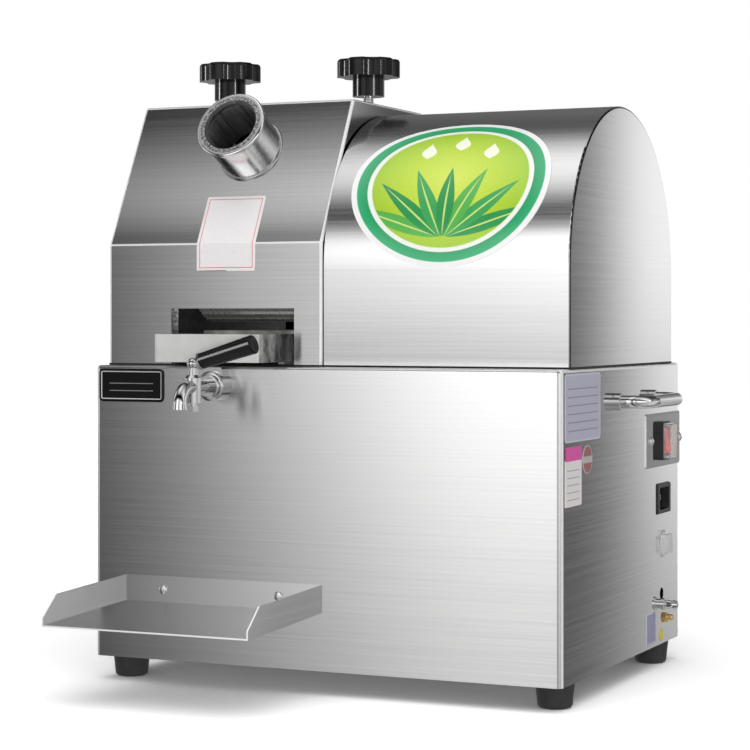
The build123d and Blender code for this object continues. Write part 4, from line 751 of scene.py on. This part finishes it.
bpy.ops.object.mode_set(mode="OBJECT")
for turn in (0, 90):
    bpy.ops.object.select_all(action="DESELECT")
    bpy.ops.mesh.primitive_cube_add(size=1, location=(0, 0, head_h), scale=slot_size)
    cross = bpy.context.object
    bpy.ops.object.mode_set(mode="EDIT")
    bpy.ops.mesh.bevel(offset=slot_round, segments=2)
    bpy.ops.object.mode_set(mode="OBJECT")
    cross.rotation_euler = (0, 0, radians(turn))
    bpy.context.view_layer.objects.active = screw_head
    recess = screw_head.modifiers.new("recess", "BOOLEAN")
    recess.object = cross
    bpy.ops.object.modifier_apply(modifier=recess.name)
    bpy.data.objects.remove(cross)
bpy.ops.object.select_all(action="DESELECT")
copies = []
for place, turn in screw_places[1:]:
    another = screw_head.copy()
    another.data = screw_head.data.copy()
    bpy.context.collection.objects.link(another)
    stand(another, place, turn)
    copies.append(another)
stand(screw_head, *screw_places[0])
for another in copies:
    another.select_set(True)
bpy.ops.object.join()
bpy.ops.object.shade_smooth_by_angle(angle=radians(35))
screw_head.visible_glossy = False
screw_head.data.materials.append(plated_steel("screw_zinc", (0.85, 0.85, 0.84), 0.1))
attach(screw_head, "cabinet")
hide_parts("panel_screws")

# Carrying handles: polished stainless rod bent to a bow, one on each side of the cabinet.
# The ends sit in turned ferrules and are fixed to the sheet.

dress(polished_metal("handle_rod", 0.8, 0.08), "right_handle", "left_handle", "handle_ferrules")

# Controls on the right side: a steel switch plate, a black housing with a red rocker under a clear boot, a black
# mains inlet, a breaker with a clear cap on a faceted ring, a chromed drain nipple and a brass earth stud.
# Plastic parts are moulded and snap or screw into holes in the sheet.

# Painted highlight on the switch plate's forward-facing edge
plate_highlight_edges = [((0, -1, 0), 40)]
plate_middle = (plate_face, 0.192, plate_screw_z)
plate_sheet = brushed_sheet("plate_sheet", plate_middle, highlight_bends=plate_highlight_edges, tone=0.5, rough=0.42)
dress(plate_sheet, "switch_plate")
dress(glossy_moulding("housing_moulding", (0.02, 0.02, 0.021), 0.3), "switch_housing")
dress(glossy_moulding("inlet_moulding", grey(0.02), 0.3), "power_inlet", "breaker_body")
dress(glossy_moulding("red_moulding", (0.7, 0.02, 0.02), 0.2), "rocker")
dress(glossy_moulding("white_moulding", (0.62, 0.62, 0.6), 0.3), "reset_button")


def clear_moulding(name, tone, rough, clear):
    """Clear or milky soft plastic with slight flow waves."""
    plastic = new_finish(name)
    wave = plastic.noise(90, 2, 0.5)
    plastic.set(Transmission_Weight=clear, IOR=1.35)
    plastic.set(Base_Color=plastic.tint(wave, [part * 0.94 for part in tone], tone))
    plastic.set(Roughness=plastic.spread(wave, rough * 0.7, rough * 1.4))
    plastic.relief(wave, 0.15, 0.001)
    return plastic.owner


dress(clear_moulding("boot_moulding", (1.0, 0.93, 0.92), 0.05, 0.88), "switch_boot")
dress(clear_moulding("breaker_moulding", grey(0.97), 0.04, 0.7), "breaker_ring", "breaker_cap")
dress(plated_steel("brass", (1.0, 0.7, 0.27), 0.16), "earth_stud", "lock_nuts")
dress(polished_metal("nipple_chrome", 0.85, 0.07), "drain_nipple")

# Stage: a plain pale floor in a white surround, lit softly from above and in front, and the camera.
# The steel mirrors a surround graded like studio cards, and small lamps give the black plastic its gloss.

floor_tone, seen_floor_tone = grey(0.6), grey(1.3)
bpy.ops.mesh.primitive_plane_add(size=12, location=(0, 0, 0))
floor = bpy.context.object
floor.name = "floor"
floor.visible_glossy = False
floor_paint = new_finish("floor_paint")
by_camera = floor_paint.node("LightPath").outputs["Is Camera Ray"]
matte = floor_paint.node("BsdfDiffuse", {"Color": floor_paint.mix("RGBA", by_camera, floor_tone, seen_floor_tone)})
floor_paint.feed(floor_paint.nodes["Material Output"].inputs["Surface"], matte.outputs["BSDF"])
floor.data.materials.append(floor_paint.owner)

world = bpy.data.worlds.new("studio")
bpy.context.scene.world = world
sky = Finish(world)
way = sky.node("TexCoord").outputs["Generated"]
right, back, up = sky.parts(way)


def levels(value, stops):
    """Brightness by a value, from (place between 0 and 1, level) stops."""
    return sky.graded(value, [(place, grey(level)) for place, level in stops])


# Brightness by the angle over the object, from the front at 0 by way of the ceiling at 90 to the back at 180
overhead = [
    (-60, 0.5), (-42, 0.3), (-30, 0.4), (-16, 0.5), (-9, 0.62), (-5, 0.83), (-1, 1.05), (5, 1.15), (12, 1.5),
    (21, 1.5), (26, 0.9), (31, 0.2), (36, 0), (45, 0), (50, 0.22), (57, 0.55), (64, 0.8), (72, 0.95), (80, 1),
    (88, 0.85), (96, 0.6), (103, 0.38), (110, 0.13), (118, 0.05), (145, 0.11), (166, 0.1), (174, 0.4),
    (181.5, 0.34), (187, 0.225), (190.5, 0.155), (196, 0.155), (206, 0.22),
]
# Brightness from the left at 0 to the right at 1, of the cards in front of the object and behind it
front_card = [
    (0.05, 0.9), (0.17, 0.05), (0.2, 0.02), (0.2235, 0.15), (0.24, 0.29), (0.257, 0.5), (0.277, 0.76),
    (0.2885, 0.9), (0.3005, 1.06), (0.312, 1.21), (0.324, 1.32), (0.336, 1.4), (0.353, 1.4), (0.45, 1.3),
    (0.53, 1.1), (0.57, 0.2), (0.61, 0.1), (0.64, 0.9), (0.69, 0.9), (0.72, 0.3), (0.76, 1), (0.97, 1.2),
]
back_card = [
    (0.2, 2.6), (0.235, 2.1), (0.28, 1.35), (0.45, 1.25), (0.55, 2.95), (0.6, 2.95), (0.621, 2.95), (0.632, 2.7),
    (0.643, 2.0), (0.653, 1.3), (0.663, 0.78), (0.675, 0.51), (0.69, 0.3), (0.71, 0.24), (0.73, 1.8), (0.77, 1.95),
    (0.82, 1.2), (0.9, 3.3),
]
ceiling_tone, ceiling_share = 1.1, [(0.6, 0), (0.85, 0.25)]

turned = sky.step("WRAP", sky.step("ARCTAN2", up, sky.step("MULTIPLY", back, -1)), 1.5 * pi, -0.5 * pi)
climb = sky.step("ADD", sky.step("DIVIDE", turned, 2 * pi), 0.25)
bands = levels(climb, [((angle + 90) / 360, level) for angle, level in overhead])
sweep = sky.step("ADD", sky.step("MULTIPLY", right, 0.5), 0.5)
ahead = sky.step("MAXIMUM", sky.step("LESS_THAN", back, 0), sky.step("GREATER_THAN", up, 0.5))
cards = sky.mix("RGBA", ahead, levels(sweep, back_card), levels(sweep, front_card))
cards = sky.mix("RGBA", levels(up, ceiling_share), cards, grey(ceiling_tone))
mirrored = sky.nodes["Background"]
sky.feed(mirrored.inputs["Color"], sky.step("MULTIPLY", bands, cards))

soft_box_way, soft_box_level, room_level = (0.12, -0.32, 0.94), 2.7, 0.01
toward = sky.step("MAXIMUM", sky.vector("DOT_PRODUCT", way, soft_box_way), 0)
strength = sky.step("MULTIPLY_ADD", sky.step("POWER", toward, 4), soft_box_level, room_level)
soft_box = sky.node("Background", {"Color": grey(1), "Strength": strength})
white = sky.node("Background", {"Color": grey(1)})
path = sky.node("LightPath").outputs
lit = sky.node("MixShader", {"Fac": path["Is Diffuse Ray"], 1: mirrored.outputs[0], 2: soft_box.outputs[0]})
in_view = sky.step("MAXIMUM", path["Is Camera Ray"], path["Is Transmission Ray"])
seen = sky.node("MixShader", {"Fac": in_view, 1: lit.outputs[0], 2: white.outputs[0]})
sky.feed(sky.nodes["World Output"].inputs["Surface"], seen.outputs[0])


def lamp(name, place, target, size, energy, only=()):
    """A soft lamp that metal doesn't mirror, or one for the gloss of a few pieces only."""
    data = bpy.data.lights.new(name, "AREA")
    data.shape = "RECTANGLE"
    data.size, data.size_y = size
    data.energy = energy
    soft = bpy.data.objects.new(name, data)
    bpy.context.scene.collection.objects.link(soft)
    soft.location = place
    soft.rotation_euler = (Vector(target) - Vector(place)).to_track_quat("-Z", "Y").to_euler()
    soft.visible_glossy = bool(only)
    if only:
        lit_pieces = bpy.data.collections.new(f"{name}_pieces")
        for piece in only:
            lit_pieces.objects.link(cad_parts[piece])
        soft.light_linking.receiver_collection = lit_pieces


lamp("fill", (0.8, -1.9, 0.2), (0, 0, 0.3), (0.4, 0.4), 17)
lamp("grip_gloss", (-0.77, -1.11, 0.6), (-0.07, -0.16, 0.33), (0.6, 0.5), 16, ["lever_grip"])
knobs_middle = (-0.1, 0.07, 0.58)
for side in (-1, 1):
    lamp(f"knob_gloss_{side}", (side * 1.1, -0.5, 0.6), knobs_middle, (0.15, 0.9), 15, ["left_knob", "right_knob"])

# Brushing scatters the image of what stands close to the sheet, so these fittings don't show in other surfaces
fittings = [
    "feed_tube", "tap_bonnet", "tap_lever", "lever_grip", "cup_shelf", "right_handle", "handle_ferrules",
    "switch_plate", "switch_housing", "switch_boot", "rocker", "power_inlet", "breaker_body", "breaker_ring",
    "breaker_cap", "reset_button", "drain_nipple", "earth_stud", "lock_nuts",
]
for fitting in [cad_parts[name] for name in fittings] + [data_plate, square_label]:
    fitting.visible_glossy = False

camera_data = bpy.data.cameras.new("camera")
camera = bpy.data.objects.new("camera", camera_data)
bpy.context.scene.collection.objects.link(camera)
camera.location = (0.8855, -1.9285, 0.349)
camera.rotation_euler = (radians(90), 0, radians(24.405))
camera_data.lens = 105.5
camera_data.sensor_width = 36
camera_data.shift_y = -0.0765
bpy.context.scene.camera = camera
bpy.context.scene.view_settings.view_transform = "Standard"
